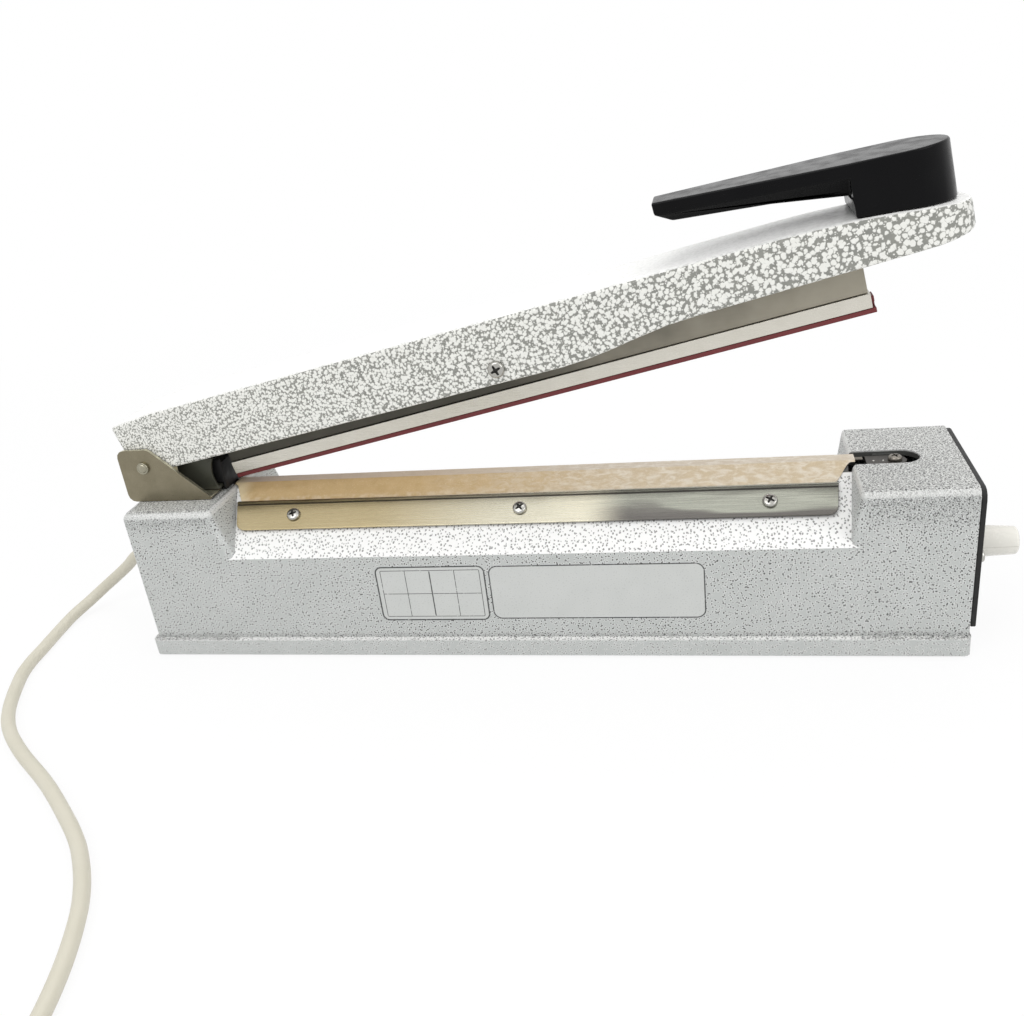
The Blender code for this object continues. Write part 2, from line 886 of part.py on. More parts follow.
def add_bottom_bosses(body):
    """Posts for the feet's screws, each with a rib to both walls of its corner."""
    half = boss_rib / 2
    reach = foot_inset - body_wall / 2
    for x, y in foot_places():
        left = x - reach if x < rim_length / 2 else x
        low = y - reach if y < 0 else y
        join(body, cone((x, y, floor_z), (x, y, boss_height), boss_radius))
        join(body, box(left, left + reach, y - half, y + half, floor_z, boss_height))
        join(body, box(x - half, x + half, low, low + reach, floor_z, boss_height))
    for x, y in foot_places():
        depth = foot_screw_tip() + gap
        cut(body, cone((x, y, -overrun), (x, y, depth), foot_screw_radius + gap, steps=hole_steps))


def end_screw_places():
    return [(y, end_screw_height) for y in (-end_screw_side, end_screw_side)]


def add_end_bosses(body):
    right = body_right - body_wall / 2
    for y, z in end_screw_places():
        join(body, cone((body_right - end_boss_depth, y, z), (right, y, z), end_boss_radius))
    for y, z in end_screw_places():
        deep = end_plate_outer + gap - end_screw_length - gap
        cut(body, cone((deep, y, z), (body_right + overrun, y, z),
                       end_screw_radius + gap, steps=hole_steps))


def add_terminal_notch(body):
    left, right = block_left - gap, block_right + gap
    half = block_width / 2 + gap
    wall = block_boss_margin
    step = recess_start - left_draft - body_wall / 3
    far = recess_start + body_round
    join(body, box(step - body_wall / 2, far, -half - wall, half + wall,
                   block_boss_low, roof_z(half + wall, body_wall / 2)))
    join(body, box(step, far, -ridge_half, ridge_half,
                   block_boss_low, ridge_height - body_wall / 2))
    join(body, box(left - wall, step, -half - wall, half + wall,
                   block_boss_low, ceiling_z + body_wall / 2))
    cut(body, box(left, right, -half, half, block_low - gap, body_top + overrun))


def add_lever_slot(body):
    start = recess_end + right_draft / 2
    outline = [(start, -slot_radius)]
    outline += arc(slot_right - slot_radius, 0, slot_radius, -math.pi / 2, math.pi / 2, 8)
    outline += [(start, slot_radius)]
    cut(body, slab(outline, slot_low, body_top + overrun))
    high = ceiling_z + body_wall / 2
    for side in (-1, 1):
        near, far = sorted((side * lug_gap, side * (lug_gap + lug_sheet)))
        lug = [(lever_leg_x - lug_width / 2, lug_low), (lever_leg_x + lug_width / 2, lug_low),
               (lever_leg_x + lug_width / 2, high), (lever_leg_x - lug_width / 2, high)]
        join(body, side_slab(lug, *spread(near, far, side)))
    reach = lug_gap + lug_sheet + overrun
    cut(body, cone((lever_leg_x, -reach, lever_pivot_z), (lever_leg_x, reach, lever_pivot_z),
                   lever_pin_radius + gap, steps=hole_steps))
    half = anchor_size / 2
    join(body, box(anchor_x - half, anchor_x + half, -half, half,
                   anchor_low, ridge_height - body_wall / 2))


def spread(near, far, side):
    """Lugs grow outwards until they pass the slot's edge, so that the roof carries them."""
    wide = slot_radius + lug_sheet
    return (near, max(far, wide)) if side > 0 else (min(near, -wide), far)


def strip_screw_places():
    return [strip_screw_first, bed_middle, strip_screw_last]


def add_small_holes(body):
    for side in (1, -1):
        for x in strip_screw_places():
            normal = roof_normal(side)
            spot = Vector((x, *on_roof(side, strip_screw_along, 0)))
            cut(body, cone(spot - normal * (body_wall + overrun), spot + normal * overrun,
                           strip_screw_radius + gap, steps=hole_steps))
    low = ceiling_z - overrun
    high = body_top + overrun
    cut(body, cone((plunger_x, 0, low), (plunger_x, 0, high), plunger_radius + gap,
                   steps=hole_steps))
    for side in (-1, 1):
        y = side * bracket_screw_y
        cut(body, cone((bracket_screw_x, y, low), (bracket_screw_x, y, high),
                       bracket_screw_radius + gap, steps=hole_steps))
    cut(body, cone((body_left - overrun, cord_exit_y, cord_exit_z),
                   (body_left + body_wall + overrun, cord_exit_y, cord_exit_z),
                   relief_radius + gap))


# Base

def foot_screw_tip():
    return foot_screw_length - foot_drop + foot_wall


def make_base(root):
    edge = body_wall + gap
    outline = rectangle(body_left + edge, body_right - edge,
                        -body_half + edge, body_half - edge)
    holes = [circle(x, y, foot_screw_radius + gap) for x, y in foot_places()]
    keep("bottom_plate", slab(outline, plate_recess, plate_top, holes), "steel", root)
    for i, (x, y) in enumerate(foot_places(), 1):
        make_foot(f"foot_{i}", x, y, root)
        make_foot_screw(f"foot_screw_{i}", x, y, root)


def make_foot(name, x, y, root):
    top = plate_recess - gap
    bore = foot_screw_radius + gap
    well = foot_screw_head + gap
    shelf = foot_wall - foot_drop + foot_screw_head_height
    profile = [
        (bore, top),
        (foot_radius, top),
        (foot_radius, -foot_drop),
        (well, -foot_drop),
        (well, shelf),
        (bore, shelf),
        (bore, top),
    ]
    turned(name, profile, (x, y, 0), (0, 0, 1), "rubber", root)


def make_foot_screw(name, x, y, root):
    head_low = foot_wall - foot_drop - gap
    head_top = head_low + foot_screw_head_height
    profile = [
        (0, foot_screw_tip()),
        (foot_screw_radius, foot_screw_tip()),
        (foot_screw_radius, head_top),
        (foot_screw_head, head_top),
        (foot_screw_head, head_low),
        (0, head_low),
    ]
    turned(name, profile, (x, y, 0), (0, 0, 1), "screw_steel", root, hole_steps)


def pan_screw(name, seat, out, radius, head, head_height, length, parent, steps=hole_steps):
    """A pan-head screw whose head rests on the seat and whose shank goes in."""
    shoulder = head - head_height * pan_shoulder_share
    profile = [
        (0, head_height),
        (shoulder * pan_crown_share, head_height * pan_crown_height_share),
        (shoulder, head_height * pan_rim_share),
        (head, head_height * pan_side_share),
        (head, 0),
        (radius, 0),
        (radius, -length),
        (0, -length),
    ]
    return turned(name, profile, seat, out, "screw_steel", parent, steps)


# Right end

def make_end(root):
    low, high = end_plate_low, body_top - end_plate_margin
    half = body_half - end_plate_margin
    corners = [(-half, low), (half, low), (half, high), (-half, high)]
    outline = rounded(corners, [end_plate_margin, end_plate_margin,
                                end_plate_round, end_plate_round])
    holes = [circle(y, z, end_screw_radius + gap) for y, z in end_screw_places()]
    holes.append(circle(0, timer_height, bush_radius + gap, round_steps))
    holes.append(circle(0, lamp_height, lamp_radius - lamp_body_step + gap, round_steps))
    keep("end_plate", end_slab(outline, end_plate_inner, end_plate_outer, holes),
         "black_plate", root)
    for i, (y, z) in enumerate(end_screw_places(), 1):
        seat = (end_plate_outer + gap, y, z)
        pan_screw(f"end_plate_screw_{i}", seat, (1, 0, 0), end_screw_radius, end_screw_head,
                  end_screw_head_height, end_screw_length, root)
    make_pot(root)
    make_lamp(root)
    make_knob(root)


def make_pot(root):
    face = end_plate_inner - gap
    bore = shaft_radius + gap
    back = -pot_depth
    profile = [
        (bore, bush_length),
        (bush_radius, bush_length),
        (bush_radius, 0),
        (pot_radius, 0),
        (pot_radius, back),
        (0, back),
        (0, back + pot_wall),
        (bore, back + pot_wall),
        (bore, bush_length),
    ]
    turned("timer_potentiometer", profile, (face, 0, timer_height), (1, 0, 0),
           "steel", root)
    seat = end_plate_outer + gap
    across = nut_half / math.cos(math.pi / 6)
    nut = cone((seat, 0, timer_height), (seat + nut_thickness, 0, timer_height), across, steps=6)
    nut = keep("potentiometer_nut", nut, "screw_steel", root)
    reach = seat + nut_thickness + overrun
    cut(nut, cone((seat - overrun, 0, timer_height), (reach, 0, timer_height),
                  bush_radius + gap))


def make_lamp(root):
    flange = end_plate_outer + gap
    profile = [
        (0, lamp_dome),
        (lamp_radius * dome_shoulder_share, lamp_dome * dome_shoulder_share),
        (lamp_radius, lamp_dome * dome_side_share),
        (lamp_radius + lamp_flange_rim, lamp_dome * dome_side_share),
        (lamp_radius + lamp_flange_rim, 0),
        (lamp_radius - lamp_body_step, 0),
        (lamp_radius - lamp_body_step, -lamp_body_length),
        (0, -lamp_body_length),
    ]
    turned("pilot_lamp", profile, (flange, 0, lamp_height), (1, 0, 0), "lamp_red", root)


def make_knob(root):
    """The knob and its shaft, on an empty at the joint's axis."""
    face = end_plate_outer + gap
    axis = empty("timer_axis", (face, 0, timer_height), root)
    low = nut_thickness + gap
    high = low + knob_length
    bore = shaft_radius + gap
    soft = knob_tip_round
    tip = knob_radius - knob_taper
    bore_end = high - knob_end_wall
    profile = [
        (0, high),
        (tip - soft, high),
        (tip - soft * knob_soft_share, high - soft * knob_soft_share),
        (tip, high - soft),
        (knob_radius, low),
        (bore, low),
        (bore, bore_end),
        (0, bore_end),
    ]
    turned("timer_knob", profile, (0, 0, 0), (1, 0, 0), "cream_plastic", axis, 2 * round_steps)
    back = end_plate_inner - gap - pot_depth + pot_wall + gap
    profile = [
        (0, bore_end - gap),
        (shaft_radius, bore_end - gap),
        (shaft_radius, back - face),
        (0, back - face),
    ]
    turned("potentiometer_shaft", profile, (0, 0, 0), (1, 0, 0), "screw_steel", axis)


# Hinge

def make_hinge(root):
    half = bracket_width / 2
    corners = [
        (cheek_left, bracket_base),
        (cheek_right, bracket_base),
        (cheek_toe_left, cheek_toe_height),
        (cheek_top_right, cheek_top),
        (cheek_left, cheek_top),
    ]
    radii = [cheek_round, bracket_sheet / 2, cheek_round, cheek_round, cheek_round]
    hole = circle(pin_x, pin_z, pin_radius + gap, round_steps)
    bracket = keep("hinge_bracket", side_slab(rounded(corners, radii), -half, half, [hole]),
                   "plated_steel", root)
    inner = half - bracket_sheet
    cut(bracket, box(cheek_left - overrun, cheek_right + overrun, -inner, inner,
                     bracket_floor, cheek_top + overrun))
    low = bracket_base - overrun
    for side in (-1, 1):
        y = side * bracket_screw_y
        cut(bracket, cone((bracket_screw_x, y, low), (bracket_screw_x, y, bracket_floor + overrun),
                          bracket_screw_radius + gap, steps=hole_steps))
    cut(bracket, cone((plunger_x, 0, low), (plunger_x, 0, bracket_floor + overrun),
                      plunger_radius + gap, steps=hole_steps))
    for i, side in enumerate((-1, 1), 1):
        seat = (bracket_screw_x, side * bracket_screw_y, bracket_floor + gap)
        pan_screw(f"bracket_screw_{i}", seat, (0, 0, 1), bracket_screw_radius,
                  bracket_screw_head, bracket_screw_head_height, bracket_screw_length, root)
    make_hinge_pin(root)
    make_guide(root)
    make_switch(root)


def make_hinge_pin(root):
    half = bracket_width / 2 + gap
    tip = half + pin_head_height
    head = pin_radius + pin_head_rim
    dome = head * pin_dome_share
    profile = [
        (0, tip),
        (dome, tip),
        (head, half + pin_head_height / 2),
        (head, half),
        (pin_radius, half),
        (pin_radius, -half),
        (head, -half),
        (head, -half - pin_head_height / 2),
        (dome, -tip),
        (0, -tip),
    ]
    turned("hinge_pin", profile, (pin_x, 0, pin_z), (0, 1, 0), "screw_steel", root)


def make_guide(root):
    half = guide_width / 2
    top = guide_base + guide_height
    edge = [(guide_right - guide_curve * math.sin(math.pi * k / 6), guide_base
             + guide_height * k / 6) for k in range(7)]
    outline = [(guide_left, guide_base), *edge, (guide_left, top)]
    guide = keep("spring_guide", side_slab(outline, -half, half), "plated_steel", root)
    inner = half - guide_sheet
    cut(guide, box(guide_left - overrun, guide_right + overrun, -inner, inner,
                   guide_floor, top + overrun))
    cut(guide, cone((plunger_x, 0, guide_base - overrun), (plunger_x, 0, guide_floor + overrun),
                    plunger_radius + gap, steps=hole_steps))
    make_return_spring(root)


def curls(count, radius, start, end, steps):
    """A helix from start to end, with its two end curls closed up."""
    start, end = Vector(start), Vector(end)
    way = end - start
    turn = along(way).to_3x3()
    points = []
    for k in range(count * steps + 1):
        share = k / (count * steps)
        rise = share - math.sin(2 * math.pi * share) * curl_crowd_share
        a = 2 * math.pi * k / steps
        side = turn @ Vector((radius * math.cos(a), radius * math.sin(a), 0))
        points.append(start + way * rise + side)
    return points


def spring_ceiling():
    """Where the arm's boss stands above the spring when the arm is open."""
    reach = arm_boss_reach * math.sin(arm_open) + arm_boss_bottom * math.cos(arm_open)
    return pin_z + reach - arm_boss_radius * math.sin(arm_open)


def make_return_spring(root):
    x = pin_x + arm_boss_reach
    low = guide_floor + gap + spring_wire / 2
    high = spring_ceiling() - gap - spring_wire / 2
    points = curls(spring_curls, spring_radius, (x, 0, low), (x, 0, high), curl_steps)
    tube("return_spring", points, spring_wire / 2, "screw_steel", root, 1)
    print("return spring, gap between curls:", round(curl_gap(points, spring_wire,
                                                             curl_steps) / mm, 2), "mm")


def curl_gap(points, wire, steps):
    """The least gap between the wire and its own next turns, measured on points."""
    spots = np.array([tuple(p) for p in points])
    apart = np.linalg.norm(spots[:, None] - spots[None], axis=2)
    index = np.arange(len(spots))
    far = abs(index[:, None] - index[None]) > steps // 2
    return apart[far].min() - wire


def make_switch(root):
    half = cover_width / 2
    cover = keep("switch_cover", box(cover_left, cover_right, -half, half, cover_base, cover_top),
                 "black_plastic", root)
    join(cover, box(cover_right - cover_skirt, cover_right, -half, half,
                    body_top + gap, cover_top - cover_round))
    bevel(cover, cover_round, 2)
    cut(cover, cone((plunger_x, 0, cover_base - overrun), (plunger_x, 0, cover_top + overrun),
                    plunger_radius + gap, steps=hole_steps))
    top = ceiling_z - gap
    side = switch_width / 2
    switch = keep("micro_switch", box(switch_left, switch_right, -side, side,
                                      top - switch_height, top), "black_plastic", root)
    cut(switch, cone((plunger_x, 0, top - switch_hole_depth), (plunger_x, 0, top + overrun),
                     plunger_radius + gap, steps=hole_steps))
    axis = empty("plunger_axis", (plunger_x, 0, plunger_top), root)
    soft = plunger_radius * plunger_soft_share
    low = top - plunger_in_switch - plunger_top
    profile = [
        (0, 0),
        (plunger_radius - soft, 0),
        (plunger_radius, -soft),
        (plunger_radius, low),
        (0, low),
    ]
    turned("switch_plunger", profile, (0, 0, 0), (0, 0, 1), "cream_plastic", axis, hole_steps)


# Sealing bed

def make_bed(root):
    half = bed_width / 2
    keep("bed_strip", box(bed_left, recess_end, -half, half,
                          bed_base, bed_base + bed_thickness), "bed_white", root)
    half = ribbon_width / 2
    keep("heating_ribbon", box(ribbon_left, ribbon_right, -half, half,
                               ribbon_base, ribbon_base + ribbon_thickness), "ribbon_steel", root)
    make_cloth(root)
    make_strips(root)
    make_terminal_block(root)


def cloth_section():
    """Y and Z down the cloth's inner face, from the ridge to the end of one flap."""
    length = (body_half - ridge_half) / math.cos(roof_angle)
    out = gap
    low = on_roof(-1, length - cloth_flap, out)
    crest = on_roof(-1, length, out)
    lift = (cloth_base - crest[1]) / math.tan(roof_angle)
    return (crest[0] - lift, cloth_base), low


def make_cloth(root):
    """The cloth as an open sheet with thickness: a flat top and two flaps."""
    (crest_y, crest_z), (flap_y, flap_z) = cloth_section()
    start = cloth_left + cloth_left_tab
    end = cloth_right - cloth_right_tab
    stations = [
        (cloth_left, False), (start, False), (start + cloth_left_corner, True),
        (end - cloth_right_corner, True), (end, False), (cloth_right, False),
    ]
    bm = bmesh.new()
    rows = []
    for x, whole in stations:
        top = [bm.verts.new((x, -crest_y, crest_z)), bm.verts.new((x, crest_y, crest_z))]
        flaps = []
        if whole:
            flaps = [bm.verts.new((x, -flap_y, flap_z)), bm.verts.new((x, flap_y, flap_z))]
        rows.append((top, flaps))
    for (top_a, flap_a), (top_b, flap_b) in zip(rows, rows[1:]):
        bm.faces.new((top_a[0], top_b[0], top_b[1], top_a[1]))
        if flap_a and flap_b:
            bm.faces.new((flap_a[0], flap_b[0], top_b[0], top_a[0]))
            bm.faces.new((top_a[1], top_b[1], flap_b[1], flap_a[1]))
        elif flap_b:
            bm.faces.new((top_a[0], flap_b[0], top_b[0]))
            bm.faces.new((top_a[1], top_b[1], flap_b[1]))
        elif flap_a:
            bm.faces.new((flap_a[0], top_b[0], top_a[0]))
            bm.faces.new((top_a[1], top_b[1], flap_a[1]))
    cloth = keep("nonstick_cloth", mesh_from(bm), "tan_cloth", root)
    facing = min(polygon.normal.z for polygon in cloth.data.polygons)
    sheet = cloth.modifiers.new("thickness", "SOLIDIFY")
    sheet.thickness = cloth_thickness
    sheet.offset = 1 if facing > 0 else -1
    sheet.use_even_offset = True


def strip_outline(side):
    """The L of a clamp strip: a face on the slope and a level lip that holds the cloth."""
    out = gap + cloth_thickness + gap
    low_in = on_roof(side, strip_low, out)
    low_out = on_roof(side, strip_low, out + strip_thickness)
    bend_in = on_roof(side, strip_high, out)
    bend_out = on_roof(side, strip_high, out + strip_thickness)
    lip_out = (bend_out[0] + side * strip_lip, bend_out[1])
    under = bend_out[1] - strip_thickness
    rise = (under - bend_in[1]) / math.tan(roof_angle)
    lip_in = (bend_in[0] + side * rise, under)
    lip_in = lip_in if abs(lip_in[0]) > abs(lip_out[0]) else (lip_out[0], under)
    return [low_in, low_out, bend_out, lip_out, lip_in]


def make_strips(root):
    x0, x1 = strip_start, strip_end
    for label, side in (("front", 1), ("rear", -1)):
        name = f"{label}_clamp_strip"
        strip = keep(name, lean_out(end_slab(strip_outline(side), x0, x1)),
                     "polished_steel", root)
        trim_strip_corners(strip, side, x0, x1)
        out = gap + cloth_thickness + gap
        normal = roof_normal(side)
        for i, x in enumerate(strip_screw_places(), 1):
            spot = Vector((x, *on_roof(side, strip_screw_along, out)))
            cut(strip, cone(spot - normal * overrun, spot + normal * (strip_thickness + overrun),
                            strip_screw_radius + gap, steps=hole_steps))
            seat = spot + normal * (strip_thickness + gap)
            pan_screw(f"{label}_strip_screw_{i}", seat, normal, strip_screw_radius,
                      strip_screw_head, strip_screw_head_height, strip_screw_length, root)


def trim_strip_corners(strip, side, x0, x1):
    """Two round-cornered notches at the strip's lower corners."""
    out = gap + cloth_thickness + gap
    normal = roof_normal(side)
    r = strip_corner
    for x, inward in ((x0, 1), (x1, -1)):
        corner = [(x - inward * overrun, strip_low - overrun),
                  (x + inward * r, strip_low - overrun)]
        swing = arc(x + inward * r, strip_low + r, r, -math.pi / 2,
                    -math.pi / 2 - inward * math.pi / 2, 5)
        corner += swing + [(x - inward * overrun, strip_low + r)]
        bm = filled(corner, strip_thickness + 2 * overrun)
        middle = Vector((0, *on_roof(side, 0, out + strip_thickness / 2)))
        up = Vector((0, math.cos(roof_angle) * side, math.sin(roof_angle)))
        axes = Matrix((Vector((1, 0, 0)), up, normal)).transposed().to_4x4()
        cut(strip, lean_out(mesh_from(bm, Matrix.Translation(middle) @ axes)))


def make_terminal_block(root):
    half = block_width / 2
    top = ribbon_base - gap
    step = cloth_base - gap
    block = keep("left_terminal_block", box(block_left, block_right, -half, half, block_low, top),
                 "black_plastic", root)
    join(block, box(block_left, ribbon_left - gap, -half, half, top - gap, step))


# Tension lever

def make_lever(root):
    axis = empty("lever_axis", (lever_leg_x, 0, lever_pivot_z), root)
    half = lever_width / 2
    under = lever_top - lever_sheet - lever_pivot_z
    top = lever_top - lever_pivot_z
    outline = [(lever_left - lever_leg_x, -half)]
    outline += arc(lever_right - half - lever_leg_x, 0, half, -math.pi / 2, math.pi / 2, 6)
    outline += [(lever_left - lever_leg_x, half)]
    hole = circle(ribbon_screw_x - lever_leg_x, 0, ribbon_screw_radius + gap)
    lever = keep("tension_lever", slab(outline, under, top, [hole]), "plated_steel", axis)
    leg = lever_leg / 2
    low = lever_leg_low - lever_pivot_z
    join(lever, box(-leg, leg, -half, half, low, under + lever_sheet / 2))
    join(lever, cone((0, -half, 0), (0, half, 0), lever_eye))
    cut(lever, cone((0, -half - overrun, 0), (0, half + overrun, 0),
                    lever_pin_radius + gap, steps=hole_steps))
    seat = (ribbon_screw_x - lever_leg_x, 0, top + gap)
    pan_screw("ribbon_screw", seat, (0, 0, 1), ribbon_screw_radius, ribbon_screw_head,
              ribbon_screw_head_height, ribbon_screw_length, axis)
    reach = slot_radius + lug_sheet
    keep("lever_pin", cone((lever_leg_x, -reach, lever_pivot_z), (lever_leg_x, reach, lever_pivot_z),
                           lever_pin_radius, steps=hole_steps), "screw_steel", root)
    start = anchor_x + anchor_size / 2 + gap + pull_spring_wire / 2
    end = lever_leg_x - lever_leg / 2 - gap - pull_spring_wire / 2
    points = curls(pull_spring_curls, pull_spring_radius, (start, 0, pull_spring_z),
                   (end, 0, pull_spring_z), curl_steps)
    tube("tension_spring", points, pull_spring_wire / 2, "screw_steel", root, 1)
    print("tension spring, gap between curls:",
          round(curl_gap(points, pull_spring_wire, curl_steps) / mm, 2), "mm")


# Inside

def make_electrics(root):
    half = core_width / 2
    low, high = floor_z, floor_z + core_height
    window_low = low + (core_height - core_window_height) / 2
    window_high = window_low + core_window_height
    leg = core_leg / 2
    left = rectangle(core_x - leg - core_window_width, core_x - leg, window_low, window_high)
    right = rectangle(core_x + leg, core_x + leg + core_window_width, window_low, window_high)
    outline = rectangle(core_x - half, core_x + half, low, high)
    depth = core_depth / 2
    keep("transformer_core", side_slab(outline, -depth, depth, [left, right]), "core_steel", root)
    wide = leg + core_window_width - gap
    deep = depth + coil_swell
    outer = rectangle(core_x - wide, core_x + wide, -deep, deep, coil_swell / 2)
    inner = rectangle(core_x - leg - gap, core_x + leg + gap, -depth - gap, depth + gap)
    keep("transformer_coil", slab(outer, window_low + gap, window_high - gap, [inner]),
         "coil_tape", root)
    make_board(root)
    make_fuse(root)


def make_board(root):
    half = board_width / 2
    low = floor_z + board_height
    high = low + board_thickness
    board = keep("timer_board", box(board_left, board_right, -half, half, low, high),
                 "board_green", root)
    sink = board_thickness / 2
    for x in (board_left + board_leg, board_right - board_leg):
        for y in (-half + board_leg, half - board_leg):
            join(board, cone((x, y, floor_z), (x, y, low + sink), board_leg / 2, steps=8))
    x = board_left + 2 * board_leg
    join(board, box(x, x + relay_length, 0, relay_width, high - sink, high + relay_height))
    spot = (board_right - 3 * board_leg, -relay_width / 2, high - sink)
    join(board, cone(spot, Vector(spot) + Vector((0, 0, capacitor_height)),
                     capacitor_radius, steps=hole_steps))


def make_fuse(root):
    half = fuse_width / 2
    top = floor_z + fuse_base
    right = fuse_left + fuse_length
    holder = keep("fuse_holder", box(fuse_left, right, -half, half, floor_z, top),
                  "black_plastic", root)
    sink = fuse_base / 2
    inset = fuse_width / 4
    for x in (fuse_left, right - fuse_cap_width):
        join(holder, box(x, x + fuse_cap_width, -half + inset, half - inset,
                         top - sink, top + fuse_cap_height))
    middle = top + fuse_cap_height / 2
    join(holder, cone((fuse_left + fuse_cap_width / 2, 0, middle),
                      (right - fuse_cap_width / 2, 0, middle), fuse_tube_radius, steps=8))


# Arm

def arm_top_z(x):
    """The arm's top line: level, then falling in a curve to the front end."""
    if x <= arm_top_end:
        share = min(1.0, (x + arm_back) / (arm_boss_reach + arm_back))
        return arm_back_top + (arm_top - arm_back_top) * share
    share = (x - arm_top_end) / (arm_length - arm_top_end)
    return arm_top - (arm_top - arm_front_top) * share ** 2


def arm_bottom_z(x):
    """The arm's lower line: level, a soft step up, then nearly level again."""
    if x <= arm_straight:
        return arm_bottom
    share = min(1.0, (x - arm_straight) / (arm_step_end - arm_straight))
    step = arm_bottom + arm_step * share * share * (3 - 2 * share)
    rest = max(0.0, x - arm_step_end) / (arm_length - arm_step_end)
    return step + (arm_front_bottom - arm_bottom - arm_step) * rest


def arm_side():
    tops = [arm_boss_reach, *np.linspace(arm_top_end, arm_length, 6)]
    lows = [*np.linspace(arm_straight, arm_step_end, 6), arm_length]
    back = arm_back * arm_heel_share
    outline = [(-back, arm_bottom)]
    outline += [(x, arm_bottom_z(x)) for x in lows]
    outline += [(x, arm_top_z(x)) for x in reversed(tops)]
    outline += [(-arm_back, arm_back_top)]
    return outline


def arm_plan():
    centre = arm_length - arm_half
    outline = [(-arm_back - overrun, -arm_half)]
    outline += arc(centre, 0, arm_half, -math.pi / 2, math.pi / 2, 14)
    outline += [(-arm_back - overrun, arm_half)]
    return outline


def make_arm(root):
    """The arm's casting, with the hinge pin as its origin."""
    axis = empty("arm_axis", (pin_x, 0, pin_z), root, arm_open)
    arm = keep("arm_casting", side_slab(arm_side(), -arm_width, arm_width), "white_paint", axis)
    common(arm, slab(arm_plan(), arm_bottom - overrun, arm_top + overrun))
    bevel(arm, arm_edge, 2, 40 * deg)
    inner = arm_half - arm_wall
    xs = [-arm_back + arm_wall, arm_boss_reach, arm_top_end, arm_hollow_end]
    roof = [(x, arm_top_z(x) - arm_wall) for x in xs]
    hollow = [(xs[0], arm_bottom - overrun), (xs[-1], arm_bottom - overrun), *reversed(roof)]
    cut(arm, side_slab(hollow, -inner, inner))
    ceiling = arm_top - arm_wall / 2
    join(arm, cone((arm_boss_reach, 0, arm_boss_bottom), (arm_boss_reach, 0, ceiling),
                   arm_boss_radius))
    join(arm, cone((pusher_reach, 0, pusher_bottom()), (pusher_reach, 0, ceiling),
                   pusher_radius))
    side = arm_half + overrun
    cut(arm, cone((0, -side, 0), (0, side, 0), pin_radius + gap))
    cut(arm, cone((bolt_x, -side, bolt_z), (bolt_x, side, bolt_z), bolt_radius + gap,
                  steps=hole_steps))
    for x in handle_screw_places:
        low = arm_bottom_z(x)
        cut(arm, cone((x, 0, low - overrun), (x, 0, low + handle_screw_sink + gap
                                              + handle_screw_head_height),
                      handle_screw_head + gap))
        cut(arm, cone((x, 0, low), (x, 0, arm_top + overrun), handle_screw_radius + gap,
                      steps=hole_steps))
    make_handle(axis)
    make_bolt(axis)
    make_bar(axis)
    return axis


def pusher_bottom():
    """The pusher ends just above the pressed plunger when the arm is down."""
    pressed = plunger_top - plunger_travel + gap
    drop = pressed - pin_z - pusher_reach * math.sin(arm_closed)
    return drop / math.cos(arm_closed) + pusher_radius * math.sin(arm_closed)


def make_bolt(axis):
    near = arm_half + gap
    profile = [
        (0, near + bolt_head_height),
        (bolt_head_radius * pan_crown_share, near + bolt_head_height * pan_crown_height_share),
        (bolt_head_radius * pan_rim_share, near + bolt_head_height * pan_rim_share),
        (bolt_head_radius, near + bolt_head_height * pan_side_share),
        (bolt_head_radius, near),
        (bolt_radius, near),
        (bolt_radius, -near - bolt_nut_thickness),
        (0, -near - bolt_nut_thickness),
    ]
    turned("bar_pivot_bolt", profile, (bolt_x, 0, bolt_z), (0, -1, 0), "screw_steel", axis)
    across = (bolt_radius + gap + bolt_nut_wall) / math.cos(math.pi / 6)
    nut = cone((bolt_x, near, bolt_z), (bolt_x, near + bolt_nut_thickness, bolt_z), across,
               steps=6)
    nut = keep("bar_pivot_nut", nut, "screw_steel", axis)
    cut(nut, cone((bolt_x, near - overrun, bolt_z),
                  (bolt_x, near + bolt_nut_thickness + overrun, bolt_z),
                  bolt_radius + gap, steps=hole_steps))


# Pressure bar

def make_bar(arm_axis):
    axis = empty("bar_axis", (bolt_x, 0, bolt_z), arm_axis, bar_open - arm_open)
    make_channel(axis)
    half = bar_width / 2
    mouth, groove = bar_groove_mouth / 2, bar_groove_width / 2
    lip = bar_low + bar_groove_lip
    roof = lip + bar_groove_depth
    profile = [
        (mouth, bar_low), (half, bar_low), (half, bar_top), (-half, bar_top), (-half, bar_low),
        (-mouth, bar_low), (-mouth, lip), (-groove, lip), (-groove, roof), (groove, roof),
        (groove, lip), (mouth, lip),
    ]
    keep("pressure_bar", end_slab(profile, -bar_back, bar_front), "aluminium", axis)
    neck, bulb = mouth - gap, groove - gap
    pad = half - pad_inset
    top = bar_low - gap
    profile = [
        (pad, bar_bottom), (pad, top), (neck, top), (neck, lip + gap), (bulb, lip + gap),
        (bulb, roof - gap), (-bulb, roof - gap), (-bulb, lip + gap), (-neck, lip + gap),
        (-neck, top), (-pad, top), (-pad, bar_bottom),
    ]
    keep("silicone_strip", end_slab(profile, -bar_back, bar_front + pad_stick_out),
         "red_silicone", axis)


def make_channel(axis):
    half = bar_width / 2 - channel_step
    inner = half - channel_sheet
    floor = channel_low + channel_sheet
    profile = [
        (-half, channel_low), (half, channel_low), (half, channel_top), (inner, channel_top),
        (inner, floor), (-inner, floor), (-inner, channel_top), (-half, channel_top),
    ]
    channel = keep("bar_channel", end_slab(profile, -bar_back, bar_front - channel_inset),
                   "brown_steel", axis)
    cut(channel, cone((0, -half - overrun, 0), (0, half + overrun, 0), bolt_radius + gap,
                      steps=hole_steps))


# Handle

